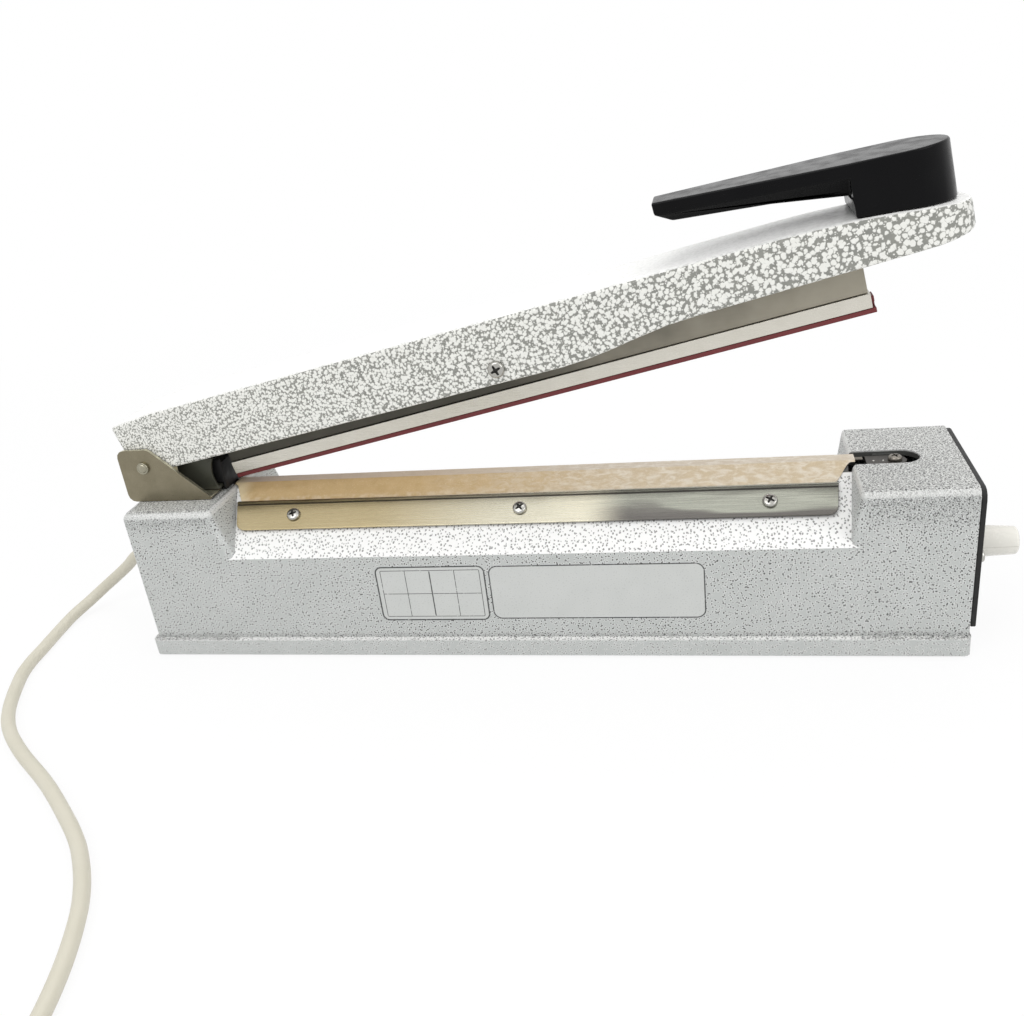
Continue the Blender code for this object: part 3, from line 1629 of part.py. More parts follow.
def handle_top_z(x):
    share = (x - handle_tip) / (handle_end - handle_tip)
    return handle_tip_top + (handle_end_top - handle_tip_top) * share


def handle_profile():
    """The handle's side: the base on the arm, the throat and the grip above it."""
    seat = handle_seat_z
    xs = np.linspace(handle_post, handle_end + overrun, 6)
    base = [(x, seat(x)) for x in xs]
    corners = [
        (handle_tip, handle_top_z(handle_tip) - handle_side),
        (handle_tip + handle_tip_slant, handle_tip_under),
        (handle_post, handle_post_under),
    ]
    radii = [0, handle_tip_slant / 2, handle_throat_round]
    lower = rounded(corners + [base[0]], radii + [0], 4)[:-1]
    end = handle_end + overrun
    return lower + base + [(end, handle_top_z(end)), (handle_tip, handle_top_z(handle_tip))]


def handle_seat_z(x):
    return arm_top_z(min(x, arm_length)) + gap


def handle_plan():
    centre = handle_end - handle_half
    tip = handle_tip_width / 2
    outline = [(handle_tip - overrun, -tip), (handle_tip, -tip), (handle_post, -handle_half)]
    outline += arc(centre, 0, handle_half, -math.pi / 2, math.pi / 2, 16)
    outline += [(handle_post, handle_half), (handle_tip, tip), (handle_tip - overrun, tip)]
    return outline


def handle_chamfer_tool(side):
    """A wedge that slants the grip's lower side inwards, down to its underside."""
    points = []
    for x, half, inset, under in (
        (handle_tip - overrun, handle_tip_width / 2, handle_tip_chamfer, handle_tip_under),
        (handle_post, handle_half, handle_chamfer, handle_post_under),
    ):
        crease = handle_top_z(x) - handle_side
        slant = inset / (crease - under)
        deep = under - overrun
        points += [
            (x, side * half, crease),
            (x, side * (half - inset - slant * overrun), deep),
            (x, side * (half + handle_half), deep),
            (x, side * (half + handle_half), crease),
        ]
    return hull(points)


def make_handle(axis):
    low = arm_front_bottom
    mesh = side_slab(handle_profile(), -arm_width, arm_width)
    handle = keep("handle", mesh, "black_gloss", axis)
    common(handle, slab(handle_plan(), low, handle_tip_top + overrun))
    cut(handle, handle_chamfer_tool(-1), handle_chamfer_tool(1))
    for i, x in enumerate(handle_screw_places, 1):
        top = handle_seat_z(x) + handle_screw_bite
        cut(handle, cone((x, 0, low), (x, 0, top + gap), handle_screw_radius + gap,
                         steps=hole_steps))
        seat = arm_bottom_z(x) + handle_screw_sink + handle_screw_head_height
        pan_screw(f"handle_screw_{i}", (x, 0, seat), (0, 0, -1), handle_screw_radius,
                  handle_screw_head, handle_screw_head_height, top - seat, axis)


# Cord

def smooth(points, count):
    """Points at even spacing on a Catmull-Rom curve through the given ones."""
    spots = [np.array(p) for p in points]
    spots = [2 * spots[0] - spots[1], *spots, 2 * spots[-1] - spots[-2]]
    fine = []
    for a, b, c, d in zip(spots, spots[1:], spots[2:], spots[3:]):
        for t in np.linspace(0, 1, 24, endpoint=False):
            fine.append(0.5 * (2 * b + (c - a) * t + (2 * a - 5 * b + 4 * c - d) * t * t
                               + (3 * b - a - 3 * c + d) * t ** 3))
    fine.append(spots[-2])
    fine = np.array(fine)
    run = np.concatenate([[0], np.cumsum(np.linalg.norm(np.diff(fine, axis=0), axis=1))])
    even = np.linspace(0, run[-1], count)
    return np.stack([np.interp(even, run, fine[:, k]) for k in range(3)], axis=1), run[-1]


def coil_path():
    """Loops spiralling in on the floor, up a layer in half a turn, and out again."""
    lower, upper = cord_rest, cord_rest + coil_pitch
    points = []
    steps = int(round(coil_turns * loop_steps))
    for k in range(steps + 1):
        turn = k / loop_steps
        points.append((coil_radius - coil_pitch * turn, math.pi + 2 * math.pi * turn, lower))
    inner = points[-1]
    climb = loop_steps // 2
    for k in range(1, climb + 1):
        share = k / climb
        rise = share * share * (3 - 2 * share)
        dip = coil_dip * math.sin(math.pi * share)
        points.append((inner[0] - dip, inner[1] + math.pi * share,
                       lower + (upper - lower) * rise))
    last = points[-1]
    for k in range(1, steps + 1):
        turn = k / loop_steps
        points.append((last[0] + coil_pitch * turn, last[1] + 2 * math.pi * turn, upper))
    loops = [(coil_x + r * math.cos(a), coil_y + r * math.sin(a), z) for r, a, z in points]
    lead_in = Vector(loops[0]) - Vector((0, -2 * cord_radius, 0))
    way = (Vector(loops[-1]) - Vector(loops[-2])).normalized()
    lead_out = Vector(loops[-1]) + way * coil_lead_out
    return [tuple(lead_in), *loops, tuple(lead_out)], way


def make_cord(root):
    face = body_left - gap
    body = relief_radius
    back = body_wall + 2 * gap
    inner = relief_flange_thickness
    rim = relief_radius + relief_flange_rim
    profile = [
        (0, relief_length),
        (cord_radius, relief_length),
        (body, 0),
        (rim, 0),
        (rim, -inner / 2),
        (body, -inner / 2),
        (body, -back - inner),
        (0, -back - inner),
    ]
    collar = face - inner / 2
    turned("strain_relief", profile, (collar, cord_exit_y, cord_exit_z), (-1, 0, 0),
           "cream_plastic", root)
    start = (collar - relief_length - gap, cord_exit_y, cord_exit_z)
    loops, way = coil_path()
    first = Vector(loops[0])
    straight = 2 * cord_radius
    route = [(start[0] - straight, start[1], start[2]), *cord_route]
    route.append((first.x, first.y + gap + straight, first.z))
    points, length = smooth(route, cord_steps)
    points = [start, *points, (first.x, first.y + gap, first.z)]
    length += 2 * straight
    tube("power_cord", points, cord_radius, "cream_cord", root, 2)
    tube("cord_coil", loops, cord_radius, "cream_cord", root, 1)
    runs = np.linalg.norm(np.diff(np.array(loops), axis=0), axis=1).sum()
    print("cord:", round(length, 3), "m free and", round(runs, 3), "m in the coil")
    print("coil, least gap to itself:", round(curl_gap(loops, 2 * cord_radius,
                                                       loop_steps) / mm, 2), "mm")
    make_plug(root, Vector(loops[-1]), way)


def make_plug(root, end, way):
    """The plug on the coil's outer end, in line with the cord."""
    frame = empty("plug_axis", end + way * gap, root)
    frame.rotation_euler = (0, 0, math.atan2(way.y, way.x))
    half, tall = plug_width / 2, plug_height / 2
    neck = cord_radius * plug_neck_share
    shoulder = plug_length * plug_shoulder_share
    outline = [(0, -neck), (shoulder, -half), (plug_length, -half), (plug_length, half),
               (shoulder, half), (0, neck)]
    corner = plug_round * plug_corner_share
    radii = [0, plug_round, corner, corner, plug_round, 0]
    low = foot_rest() - end.z
    plug = keep("plug", slab(rounded(outline, radii), low, low + plug_height), "cream_plastic",
                frame)
    bevel(plug, corner, 2, 60 * deg)
    for side in (-1, 1):
        y = side * plug_pin_pitch / 2
        start = (plug_length - overrun, y, low + tall)
        join(plug, cone(start, (plug_length + plug_pin_length, y, low + tall), plug_pin_radius,
                        steps=hole_steps))


def foot_rest():
    return -foot_drop + gap


# Whole machine

def place_origin(root):
    """Moves the machine so that the origin is under the middle of it, without its cord."""
    bpy.context.view_layer.update()
    graph = bpy.context.evaluated_depsgraph_get()
    loose = {"power_cord", "cord_coil", "plug", "strain_relief"}
    corners = []
    for obj in PARTS.objects:
        if obj.type == "EMPTY" or obj.name in loose:
            continue
        mesh = obj.evaluated_get(graph).to_mesh()
        corners += [obj.matrix_world @ v.co for v in mesh.vertices]
    spots = np.array(corners)
    low, high = spots.min(axis=0), spots.max(axis=0)
    root.location = (-(low[0] + high[0]) / 2, -(low[1] + high[1]) / 2, -low[2])
    print("machine without its cord:", np.round((high - low) / mm, 1), "mm")
    print("root moved by", np.round(np.array(root.location) / mm, 3), "mm")
    bpy.context.view_layer.update()
    for obj in PARTS.objects:
        if obj.type == "EMPTY":
            print(obj.name, np.round(np.array(obj.matrix_world.translation), 6))


def build():
    root = empty("sealer_root", (0, 0, 0))
    make_body(root)
    make_base(root)
    make_end(root)
    make_hinge(root)
    make_bed(root)
    make_lever(root)
    make_electrics(root)
    make_arm(root)
    make_cord(root)
    place_origin(root)


clear_scene()
PARTS = collection("heat_sealer")
CUTTERS = collection("cutters")
FINISHES = {
    "grey_paint": finish("grey_paint", (0.50, 0.51, 0.51), 0.45, 0.2),
    "white_paint": finish("white_paint", (0.68, 0.67, 0.63), 0.40, 0.1),
    "black_plate": finish("black_plate", (0.02, 0.02, 0.022), 0.5),
    "black_plastic": finish("black_plastic", (0.015, 0.015, 0.016), 0.45),
    "black_gloss": finish("black_gloss", (0.01, 0.01, 0.012), 0.22),
    "cream_plastic": finish("cream_plastic", (0.78, 0.76, 0.68), 0.35),
    "cream_cord": finish("cream_cord", (0.76, 0.74, 0.66), 0.5),
    "plated_steel": finish("plated_steel", (0.36, 0.35, 0.29), 0.38, 0.8),
    "polished_steel": finish("polished_steel", (0.68, 0.65, 0.58), 0.15, 1.0),
    "screw_steel": finish("screw_steel", (0.55, 0.54, 0.50), 0.3, 0.9),
    "brown_steel": finish("brown_steel", (0.30, 0.26, 0.20), 0.45, 0.6),
    "steel": finish("steel", (0.42, 0.42, 0.42), 0.5, 0.8),
    "ribbon_steel": finish("ribbon_steel", (0.40, 0.38, 0.35), 0.35, 0.9),
    "core_steel": finish("core_steel", (0.25, 0.25, 0.26), 0.6, 0.6),
    "aluminium": finish("aluminium", (0.72, 0.72, 0.70), 0.3, 0.9),
    "red_silicone": finish("red_silicone", (0.40, 0.05, 0.04), 0.6),
    "tan_cloth": finish("tan_cloth", (0.55, 0.40, 0.24), 0.5),
    "bed_white": finish("bed_white", (0.80, 0.78, 0.72), 0.8),
    "coil_tape": finish("coil_tape", (0.70, 0.60, 0.25), 0.6),
    "board_green": finish("board_green", (0.05, 0.22, 0.10), 0.5),
    "rubber": finish("rubber", (0.03, 0.03, 0.03), 0.8),
    "lamp_red": finish("lamp_red", (0.60, 0.04, 0.03), 0.25),
}
build()
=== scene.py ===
"""The looks of a hand impulse heat sealer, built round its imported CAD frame.

Metres, +Z up, -Y is the front. The CAD pieces are read from the frame, softened and given
their finishes. Screws, springs, the knob, the cloth and the cord are made again in detail.
"""

import json
import math
from functools import reduce

import bmesh
import bpy
import numpy as np
from mathutils import Matrix, Vector, noise


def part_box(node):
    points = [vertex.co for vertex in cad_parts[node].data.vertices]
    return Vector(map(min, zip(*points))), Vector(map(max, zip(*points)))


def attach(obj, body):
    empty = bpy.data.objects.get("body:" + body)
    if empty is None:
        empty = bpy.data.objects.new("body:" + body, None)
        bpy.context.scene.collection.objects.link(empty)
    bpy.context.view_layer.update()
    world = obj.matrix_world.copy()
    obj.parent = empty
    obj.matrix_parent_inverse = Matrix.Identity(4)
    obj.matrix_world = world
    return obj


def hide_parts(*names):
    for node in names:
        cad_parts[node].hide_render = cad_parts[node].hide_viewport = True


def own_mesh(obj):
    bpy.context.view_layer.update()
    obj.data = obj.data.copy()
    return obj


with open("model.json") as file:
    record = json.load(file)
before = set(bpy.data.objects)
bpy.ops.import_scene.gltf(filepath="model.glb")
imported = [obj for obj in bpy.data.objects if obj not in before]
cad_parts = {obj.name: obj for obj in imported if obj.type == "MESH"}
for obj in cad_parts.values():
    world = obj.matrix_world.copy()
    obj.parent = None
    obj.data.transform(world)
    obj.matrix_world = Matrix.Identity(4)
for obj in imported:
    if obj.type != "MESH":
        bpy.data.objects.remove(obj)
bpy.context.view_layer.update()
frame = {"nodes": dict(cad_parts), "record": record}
nodes = frame["nodes"]
record = frame["record"]
BODY = {node: body for body, group in record["behaviour"]["bodies"].items() for node in group}
SLOT = {row["node"]: row["material_slot"] for row in record["subparts"]}

mm = 0.001
deg = math.pi / 180

# The machine's own frame: the left end of the rim, the centre plane, the rim's lower face
rim_corner_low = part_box("body_casting")[0]
ORIGIN = Vector((rim_corner_low[0], 0, rim_corner_low[2]))

# Sizes that the looks share with the CAD model
roof_rise = 25.0 * mm
roof_run = 34.2 * mm
arm_open = 11.2 * deg
pin = Vector((12.0 * mm, 0, 102.4 * mm))


def at(x, y, z):
    """A place given in millimetres in the machine's own frame."""
    return ORIGIN + Vector((x, y, z)) * mm


# Camera

camera_place = Vector((0.084519, -0.4518, 0.2765))
camera_yaw = 13.21 * deg
camera_pitch = 24.64 * deg
camera_roll = -7.26 * deg
focal_pixels = 986.8
picture_width = 1024
sensor_width = 36


def make_camera():
    """The photo's camera, from its place, three turns and focal length."""
    data = bpy.data.cameras.new("camera")
    data.sensor_fit = "HORIZONTAL"
    data.sensor_width = sensor_width
    data.lens = focal_pixels / picture_width * sensor_width
    data.clip_start = 10 * mm
    data.clip_end = 20
    camera = bpy.data.objects.new("camera", data)
    bpy.context.scene.collection.objects.link(camera)
    level = math.cos(camera_pitch)
    ahead = Vector((-math.sin(camera_yaw) * level, math.cos(camera_yaw) * level,
                    -math.sin(camera_pitch)))
    right = Vector((math.cos(camera_yaw), math.sin(camera_yaw), 0))
    up = right.cross(ahead)
    turned_right = right * math.cos(camera_roll) + up * math.sin(camera_roll)
    turned_up = up * math.cos(camera_roll) - right * math.sin(camera_roll)
    turn = Matrix((turned_right, turned_up, -ahead)).transposed().to_4x4()
    camera.matrix_world = Matrix.Translation(camera_place) @ turn
    bpy.context.scene.camera = camera


# Node trees

class Tree:
    """A node tree that is built from short calls."""

    def __init__(self, owner):
        owner.use_nodes = True
        self.tree = owner.node_tree

    def node(self, kind, **settings):
        """A new node with its settings."""
        made = self.tree.nodes.new(kind)
        for key, value in settings.items():
            setattr(made, key, value)
        return made

    def feed(self, socket, value):
        """Links the value to a socket, or sets it there."""
        if isinstance(value, bpy.types.NodeSocket):
            self.tree.links.new(value, socket)
        elif isinstance(value, (tuple, list)) and len(value) == 3 and socket.type == "RGBA":
            socket.default_value = (*value, 1.0)
        else:
            socket.default_value = value

    def math(self, operation, a, b=0.0, c=0.0, clamp=False):
        made = self.node("ShaderNodeMath", operation=operation, use_clamp=clamp)
        for socket, value in zip(made.inputs, (a, b, c)):
            self.feed(socket, value)
        return made.outputs[0]

    def times(self, *values):
        """The product of the values."""
        return reduce(lambda a, b: self.math("MULTIPLY", a, b), values)

    def most(self, *values):
        """The largest of the values."""
        return reduce(lambda a, b: self.math("MAXIMUM", a, b), values)

    def linear(self, value, slope, start):
        """The value times a slope, counted from a start."""
        return self.math("MULTIPLY_ADD", value, slope, start)

    def away(self, value, place):
        """How far the value is from a place."""
        return self.math("ABSOLUTE", self.math("SUBTRACT", value, place))

    def step(self, value, low, high, first=0.0, last=1.0):
        """A smooth change from first to last as the value goes from low to high."""
        made = self.node("ShaderNodeMapRange", interpolation_type="SMOOTHSTEP")
        for name, given in (("Value", value), ("From Min", low), ("From Max", high),
                            ("To Min", first), ("To Max", last)):
            self.feed(made.inputs[name], given)
        return made.outputs[0]


class Finish(Tree):
    """A material of the machine. Lengths in its tree are millimetres."""

    def __init__(self, name, roughness=0.5, metallic=0.0):
        self.material = bpy.data.materials.new(name)
        super().__init__(self.material)
        self.shader = self.tree.nodes["Principled BSDF"]
        self.set("Roughness", roughness)
        self.set("Metallic", metallic)
        coordinates = self.node("ShaderNodeTexCoord")
        face = self.node("ShaderNodeVectorTransform", vector_type="NORMAL", convert_from="WORLD",
                         convert_to="OBJECT")
        surface = self.node("ShaderNodeNewGeometry")
        self.feed(face.inputs[0], surface.outputs["True Normal"])
        self.normal = face.outputs[0]
        scaled = self.node("ShaderNodeVectorMath", operation="SCALE")
        self.feed(scaled.inputs[0], coordinates.outputs["Object"])
        self.feed(scaled.inputs["Scale"], 1 / mm)
        shift = self.node("ShaderNodeVectorMath", operation="SUBTRACT")
        self.feed(shift.inputs[0], scaled.outputs[0])
        shift.inputs[1].default_value = ORIGIN / mm
        self.place = shift.outputs[0]

    def set(self, name, value):
        self.feed(self.shader.inputs[name], value)

    def noise(self, size, detail=2.0, roughness=0.5, place=None, distortion=0.0):
        made = self.node("ShaderNodeTexNoise")
        self.feed(made.inputs["Vector"], place or self.place)
        self.feed(made.inputs["Scale"], 1 / size)
        self.feed(made.inputs["Detail"], detail)
        self.feed(made.inputs["Roughness"], roughness)
        self.feed(made.inputs["Distortion"], distortion)
        return made.outputs["Fac"]

    def flat_place(self, place=None):
        """The place as it lies on the surface: across it, and up or back along it."""
        x, y, z = self.split(place or self.place)
        nx, _, nz = self.split(self.normal)
        end = self.step(self.math("ABSOLUTE", nx), 0.7, 0.72)
        level = self.step(self.math("ABSOLUTE", nz), 0.5, 0.52)
        across = self.math("ADD", self.times(x, self.math("SUBTRACT", 1.0, end)),
                           self.times(y, end))
        along = self.math("ADD", self.times(z, self.math("SUBTRACT", 1.0, level)),
                          self.times(y, level))
        return self.join(across, along, 0.0)

    def cells(self, size, place):
        """Scattered points on the surface: how far the nearest is, and a colour for each."""
        made = self.node("ShaderNodeTexVoronoi", voronoi_dimensions="2D")
        self.feed(made.inputs["Vector"], place)
        self.feed(made.inputs["Scale"], 1 / size)
        return made

    def mix(self, share, first, last):
        made = self.node("ShaderNodeMix", data_type="RGBA")
        self.feed(made.inputs[0], share)
        self.feed(made.inputs[6], first)
        self.feed(made.inputs[7], last)
        return made.outputs[2]

    def split(self, vector):
        made = self.node("ShaderNodeSeparateXYZ")
        self.feed(made.inputs[0], vector)
        return made.outputs

    def join(self, x, y, z):
        made = self.node("ShaderNodeCombineXYZ")
        for socket, value in zip(made.inputs, (x, y, z)):
            self.feed(socket, value)
        return made.outputs[0]

    def shift(self, amount, share, place):
        """The place pushed about by a colour or vector, centred on one half."""
        centred = self.node("ShaderNodeVectorMath", operation="SUBTRACT")
        self.feed(centred.inputs[0], amount)
        centred.inputs[1].default_value = (0.5, 0.5, 0.5)
        scaled = self.node("ShaderNodeVectorMath", operation="SCALE")
        self.feed(scaled.inputs[0], centred.outputs[0])
        self.feed(scaled.inputs["Scale"], share)
        added = self.node("ShaderNodeVectorMath", operation="ADD")
        self.feed(added.inputs[0], place)
        self.feed(added.inputs[1], scaled.outputs[0])
        return added.outputs[0]

    def noise_colour(self, size, detail, place):
        made = self.node("ShaderNodeTexNoise")
        self.feed(made.inputs["Vector"], place)
        self.feed(made.inputs["Scale"], 1 / size)
        self.feed(made.inputs["Detail"], detail)
        return made.outputs["Color"]

    def bump(self, height, depth, strength=1.0):
        """A relief of the given depth in millimetres."""
        made = self.node("ShaderNodeBump")
        self.feed(made.inputs["Height"], height)
        self.feed(made.inputs["Distance"], depth * mm)
        self.feed(made.inputs["Strength"], strength)
        if self.shader.inputs["Normal"].is_linked:
            self.feed(made.inputs["Normal"], self.shader.inputs["Normal"].links[0].from_socket)
        self.set("Normal", made.outputs[0])


# Paints

# Printed frames on the front, in millimetres: left, right, low, high, corner radius and line
fine_line = 0.34
table_frame = (133.5, 189.4, 19.7, 50.1, 3.4, 0.75)
table_cells = (136.0, 187.0, 21.7, 48.1, 0.6, fine_line)
table_columns = ((148.75, fine_line), (161.5, 0.6), (174.25, fine_line))
note_frame = (191.8, 295.5, 20.3, 49.8, 4.2, 0.62)
ink_blur = 0.08

# Places on the body that its paint follows, in millimetres
recess_left, recess_right = 51.0, 366.0
rim_top = 9.2
ridge_top = 82.4
slot_half = 8.2
slot_left, slot_right = 354.5, 398.0
knob_middle = 37.6


def outline_of(f, u, v, u0, u1, v0, v1, corner, line):
    """A rounded rectangle as print: its outline's ink and its inside, from 0 to 1."""
    def reach(value, low, high):
        off = f.away(value, (low + high) / 2)
        return f.math("SUBTRACT", off, (high - low) / 2 - corner)

    across, down = reach(u, u0, u1), reach(v, v0, v1)
    past = f.math("SQRT", f.math("ADD", f.math("POWER", f.most(across, 0.0), 2.0),
                                 f.math("POWER", f.most(down, 0.0), 2.0)))
    inner = f.math("MINIMUM", f.most(across, down), 0.0)
    edge = f.math("SUBTRACT", f.math("ADD", past, inner), corner)
    ink = f.step(f.math("ABSOLUTE", edge), line / 2 + ink_blur, line / 2 - ink_blur)
    return ink, f.step(edge, 0.1, -0.1)


def rule(f, value, place, line, along, low, high):
    """A straight printed line where the value is near the place, from low to high."""
    near = f.away(value, place)
    ink = f.step(near, line / 2 + ink_blur, line / 2 - ink_blur)
    return f.times(ink, f.step(along, low - 0.1, low + 0.1), f.step(along, high + 0.1, high - 0.1))


def grey_hammertone():
    """Light grey stove enamel: small dark flecks with pale rings, denser near the edges."""
    f = Finish("grey_hammertone", 0.42)
    x, y, z = f.split(f.place)
    _, ny, nz = f.split(f.normal)
    up = f.step(nz, 0.86, 0.97)
    within = f.times(f.step(x, recess_left - 1, recess_left + 1),
                     f.step(x, recess_right + 1, recess_right - 1))
    slope = f.times(f.step(nz, 0.6, 0.66), within, f.step(z, ridge_top, ridge_top - 0.6))
    front = f.step(ny, -0.9, -0.98)
    ends = f.most(f.step(x, 56.0, 48.0), f.step(x, 356.0, 372.0))
    right = f.step(x, 330.0, 380.0)
    top_band = f.times(f.step(z, f.linear(right, -14.0, 68.0), 79.0), ends)
    rim = f.times(f.step(z, 8.6, 9.6), f.step(z, 14.5, 10.0))
    foot = f.step(z, 9.4, 8.2)
    wander = f.noise(30.0, 2.0)
    dense = f.linear(top_band, 0.75, f.times(up, 0.35))
    dense = f.linear(rim, 0.65, dense)
    dense = f.linear(right, 0.14, dense)
    dense = f.math("ADD", dense, f.linear(wander, 0.44, -0.22))
    dense = f.math("MULTIPLY", dense, f.linear(slope, -0.6, 1.0), clamp=True)

    skin = f.flat_place()

    def flecks(size, radius, spread, chance, warp):
        pushed = f.shift(f.noise_colour(size * 0.5, 1.0, skin), size * warp, skin)
        cells = f.cells(size, pushed)
        pick, wide, _ = f.split(cells.outputs["Color"])
        there = f.step(f.math("SUBTRACT", chance, pick), -0.02, 0.02)
        reach = f.times(there, f.linear(wide, spread, radius))
        away = f.times(cells.outputs["Distance"], size)
        core = f.step(f.math("SUBTRACT", reach, away), -0.08, 0.08)
        halo = f.step(f.math("SUBTRACT", f.math("ADD", reach, 0.34), away), -0.1, 0.22)
        return core, f.times(halo, there)

    core, halo = flecks(1.75, 0.27, 0.17, f.linear(dense, 0.15, 0.88), 0.5)
    small, small_halo = flecks(1.15, 0.17, 0.16, f.linear(dense, 1.1, 0.16), 0.7)
    squiggle = f.noise(1.1, 2.0, 0.55, skin, 0.6)
    away = f.away(squiggle, 0.5)
    net = f.step(f.math("SUBTRACT", f.linear(dense, 0.05, -0.012), away), -0.012, 0.014)
    net = f.times(net, f.step(dense, 0.25, 0.62))
    dark = f.most(core, f.times(small, 0.8), f.times(net, 0.8))
    pale = f.most(halo, f.times(small_halo, 0.6))
    # A painted highlight band on the faces just below the top edges, with fewer flecks in it.
    edge_highlight = f.times(f.step(z, 79.6, 80.8), f.step(up, 0.9, 0.4))
    dark = f.times(dark, f.linear(edge_highlight, -0.5, 1.0))

    ground = f.mix(f.noise(16.0, 2.0), (0.455, 0.475, 0.462), (0.525, 0.54, 0.53))
    ground = f.mix(f.times(edge_highlight, 0.5), ground, (0.78, 0.78, 0.76))
    # Painted light: the recess's slanted faces painted near white, with fewer flecks.
    ground = f.mix(slope, ground, (0.90, 0.90, 0.89))
    # Painted light: upward faces painted paler than the sides.
    ground = f.mix(f.times(up, 0.55), ground, (0.8, 0.8, 0.775))
    lit = f.mix(f.times(pale, 0.48), ground, (0.86, 0.86, 0.845))
    # A painted highlight: a broken pale line along the rim's top edge.
    line = f.times(f.step(f.away(z, rim_top), 0.7, 0.15),
                   f.step(f.noise(6.0, 3.0, 0.6, f.join(x, 0.0, 0.0)), 0.34, 0.56))
    lit = f.mix(f.times(line, 0.75), lit, (0.88, 0.88, 0.865))
    # Painted shade: the walls of the slot in the top painted nearly black.
    slot_shade = f.times(f.step(f.math("ABSOLUTE", y), slot_half + 0.2, slot_half - 0.2),
                   f.step(x, slot_left - 1.5, slot_left + 1.5),
                   f.step(x, slot_right + 1, slot_right - 1), f.step(z, 82.9, 82.3))
    lit = f.mix(f.times(slot_shade, 0.93), lit, (0.03, 0.03, 0.026))
    # Fleck colour, paler on the slanted faces as part of their painted light.
    ink = f.mix(slope, (0.044, 0.046, 0.044), (0.20, 0.20, 0.195))
    dark = f.times(dark, f.linear(foot, -0.3, 0.95))
    paint = f.mix(dark, lit, ink)

    border, inside_table = outline_of(f, x, z, *table_frame)
    grid, _ = outline_of(f, x, z, *table_cells)
    other, inside_note = outline_of(f, x, z, *note_frame)
    left, right_end, low, high, _, _ = table_cells
    columns = [rule(f, x, place, thick, z, low, high) for place, thick in table_columns]
    row = rule(f, z, (low + high) / 2, fine_line, x, left, right_end)
    print_ink = f.most(border, grid, *columns, row, other)
    plate = f.times(f.most(inside_table, inside_note), front)
    wear_and_highlight = f.step(f.noise(1.1, 3.0, 0.65), 0.30, 0.40)
    blank = f.mix(f.noise(14.0, 2.0), (0.53, 0.545, 0.53), (0.60, 0.61, 0.595))
    paint = f.mix(f.times(plate, 0.9), paint, blank)
    printed = f.times(print_ink, wear_and_highlight, front)
    paint = f.mix(f.times(printed, 0.93), paint, (0.022, 0.022, 0.022))
    f.set("Base Color", paint)
    f.set("Roughness", f.step(dark, 0.0, 1.0, 0.38, 0.5))
    relief = f.math("SUBTRACT", f.times(pale, 0.6), dark)
    f.bump(f.times(relief, f.linear(plate, -0.9, 1.0)), 0.05, 0.4)
    return f.material


def white_hammertone():
    """White enamel islands in a grey net: fine at the hinge, coarse at the handle."""
    f = Finish("white_hammertone", 0.38)
    turn = f.node("ShaderNodeVectorRotate", rotation_type="Y_AXIS")
    f.feed(turn.inputs["Vector"], f.place)
    turn.inputs["Center"].default_value = pin / mm
    turn.inputs["Angle"].default_value = arm_open
    x, y, z = f.split(turn.outputs[0])
    z = f.math("SUBTRACT", z, pin.z / mm)
    finest, coarsest, length = 1.05, 2.5, 400.0
    growth = (coarsest - finest) / length
    size = f.most(f.linear(x, growth, finest), finest * 0.8)
    run = f.math("DIVIDE", f.math("LOGARITHM", size, math.e), growth)
    place = f.join(run, f.math("DIVIDE", y, size), f.math("DIVIDE", z, size))
    skin = f.flat_place(place)
    pushed = f.shift(f.noise_colour(0.9, 2.0, skin), 0.75, skin)
    lumps = f.noise(2.6, 2.0, 0.55, skin)
    blobs = []
    for grain, wide, spread in ((1.0, 0.30, 0.26), (0.62, 0.10, 0.20)):
        cells = f.cells(grain, pushed)
        share, _, _ = f.split(cells.outputs["Color"])
        reach = f.linear(share, spread, wide)
        reach = f.math("ADD", reach, f.linear(lumps, 0.5, -0.21))
        reach = f.linear(x, -0.07 / length, reach)
        blobs.append(f.step(f.math("SUBTRACT", reach, cells.outputs["Distance"]), -0.1, 0.1))
    white = f.most(*blobs)
    # Painted light: upward faces painted a paler, plainer white with faint specks.
    top = f.step(f.split(f.normal)[2], 0.80, 0.95)
    specks = f.step(f.noise(0.8, 3.0, 0.6, place), 0.58, 0.66)
    faint = f.linear(top, -0.9, 1.0)
    grey = f.mix(f.noise(5.0, 2.0), (0.19, 0.195, 0.18), (0.30, 0.30, 0.27))
    coat = f.mix(f.noise(1.6, 2.0), (0.75, 0.75, 0.71), (0.84, 0.84, 0.80))
    side = f.mix(white, grey, coat)
    lit_top_colour = f.mix(f.times(specks, 0.22), (0.9, 0.9, 0.885), (0.56, 0.56, 0.54))
    f.set("Base Color", f.mix(faint, lit_top_colour, side))
    f.set("Roughness", f.step(white, 0.0, 1.0, 0.5, 0.34))
    f.bump(f.times(white, faint), 0.06, 0.5)
    return f.material


def plain(name, colour, other, roughness, metallic=0.0, grain=1.2, relief=0.01):
    """A finish whose colour and roughness wander a little, with a fine relief."""
    f = Finish(name, roughness, metallic)
    f.set("Base Color", f.mix(f.noise(grain * 6, 3.0), colour, other))
    f.set("Roughness", f.step(f.noise(grain * 2, 3.0), 0.3, 0.7, roughness * 0.85,
                              roughness * 1.15))
    f.bump(f.noise(grain * 0.3, 2.0), relief, 0.6)
    return f


def brushed(name, colour, other, roughness, stretch, metallic=1.0):
    """A metal with fine lines along one axis."""
    f = Finish(name, roughness, metallic)
    x, y, z = f.split(f.place)
    place = f.join(*(f.times(axis, share) for axis, share in zip((x, y, z), stretch)))
    lines = f.noise(0.35, 3.0, 0.6, place)
    f.set("Base Color", f.mix(f.noise(7.0, 2.0), colour, other))
    f.set("Roughness", f.step(lines, 0.3, 0.7, roughness * 0.75, roughness * 1.3))
    f.bump(lines, 0.012, 0.5)
    return f


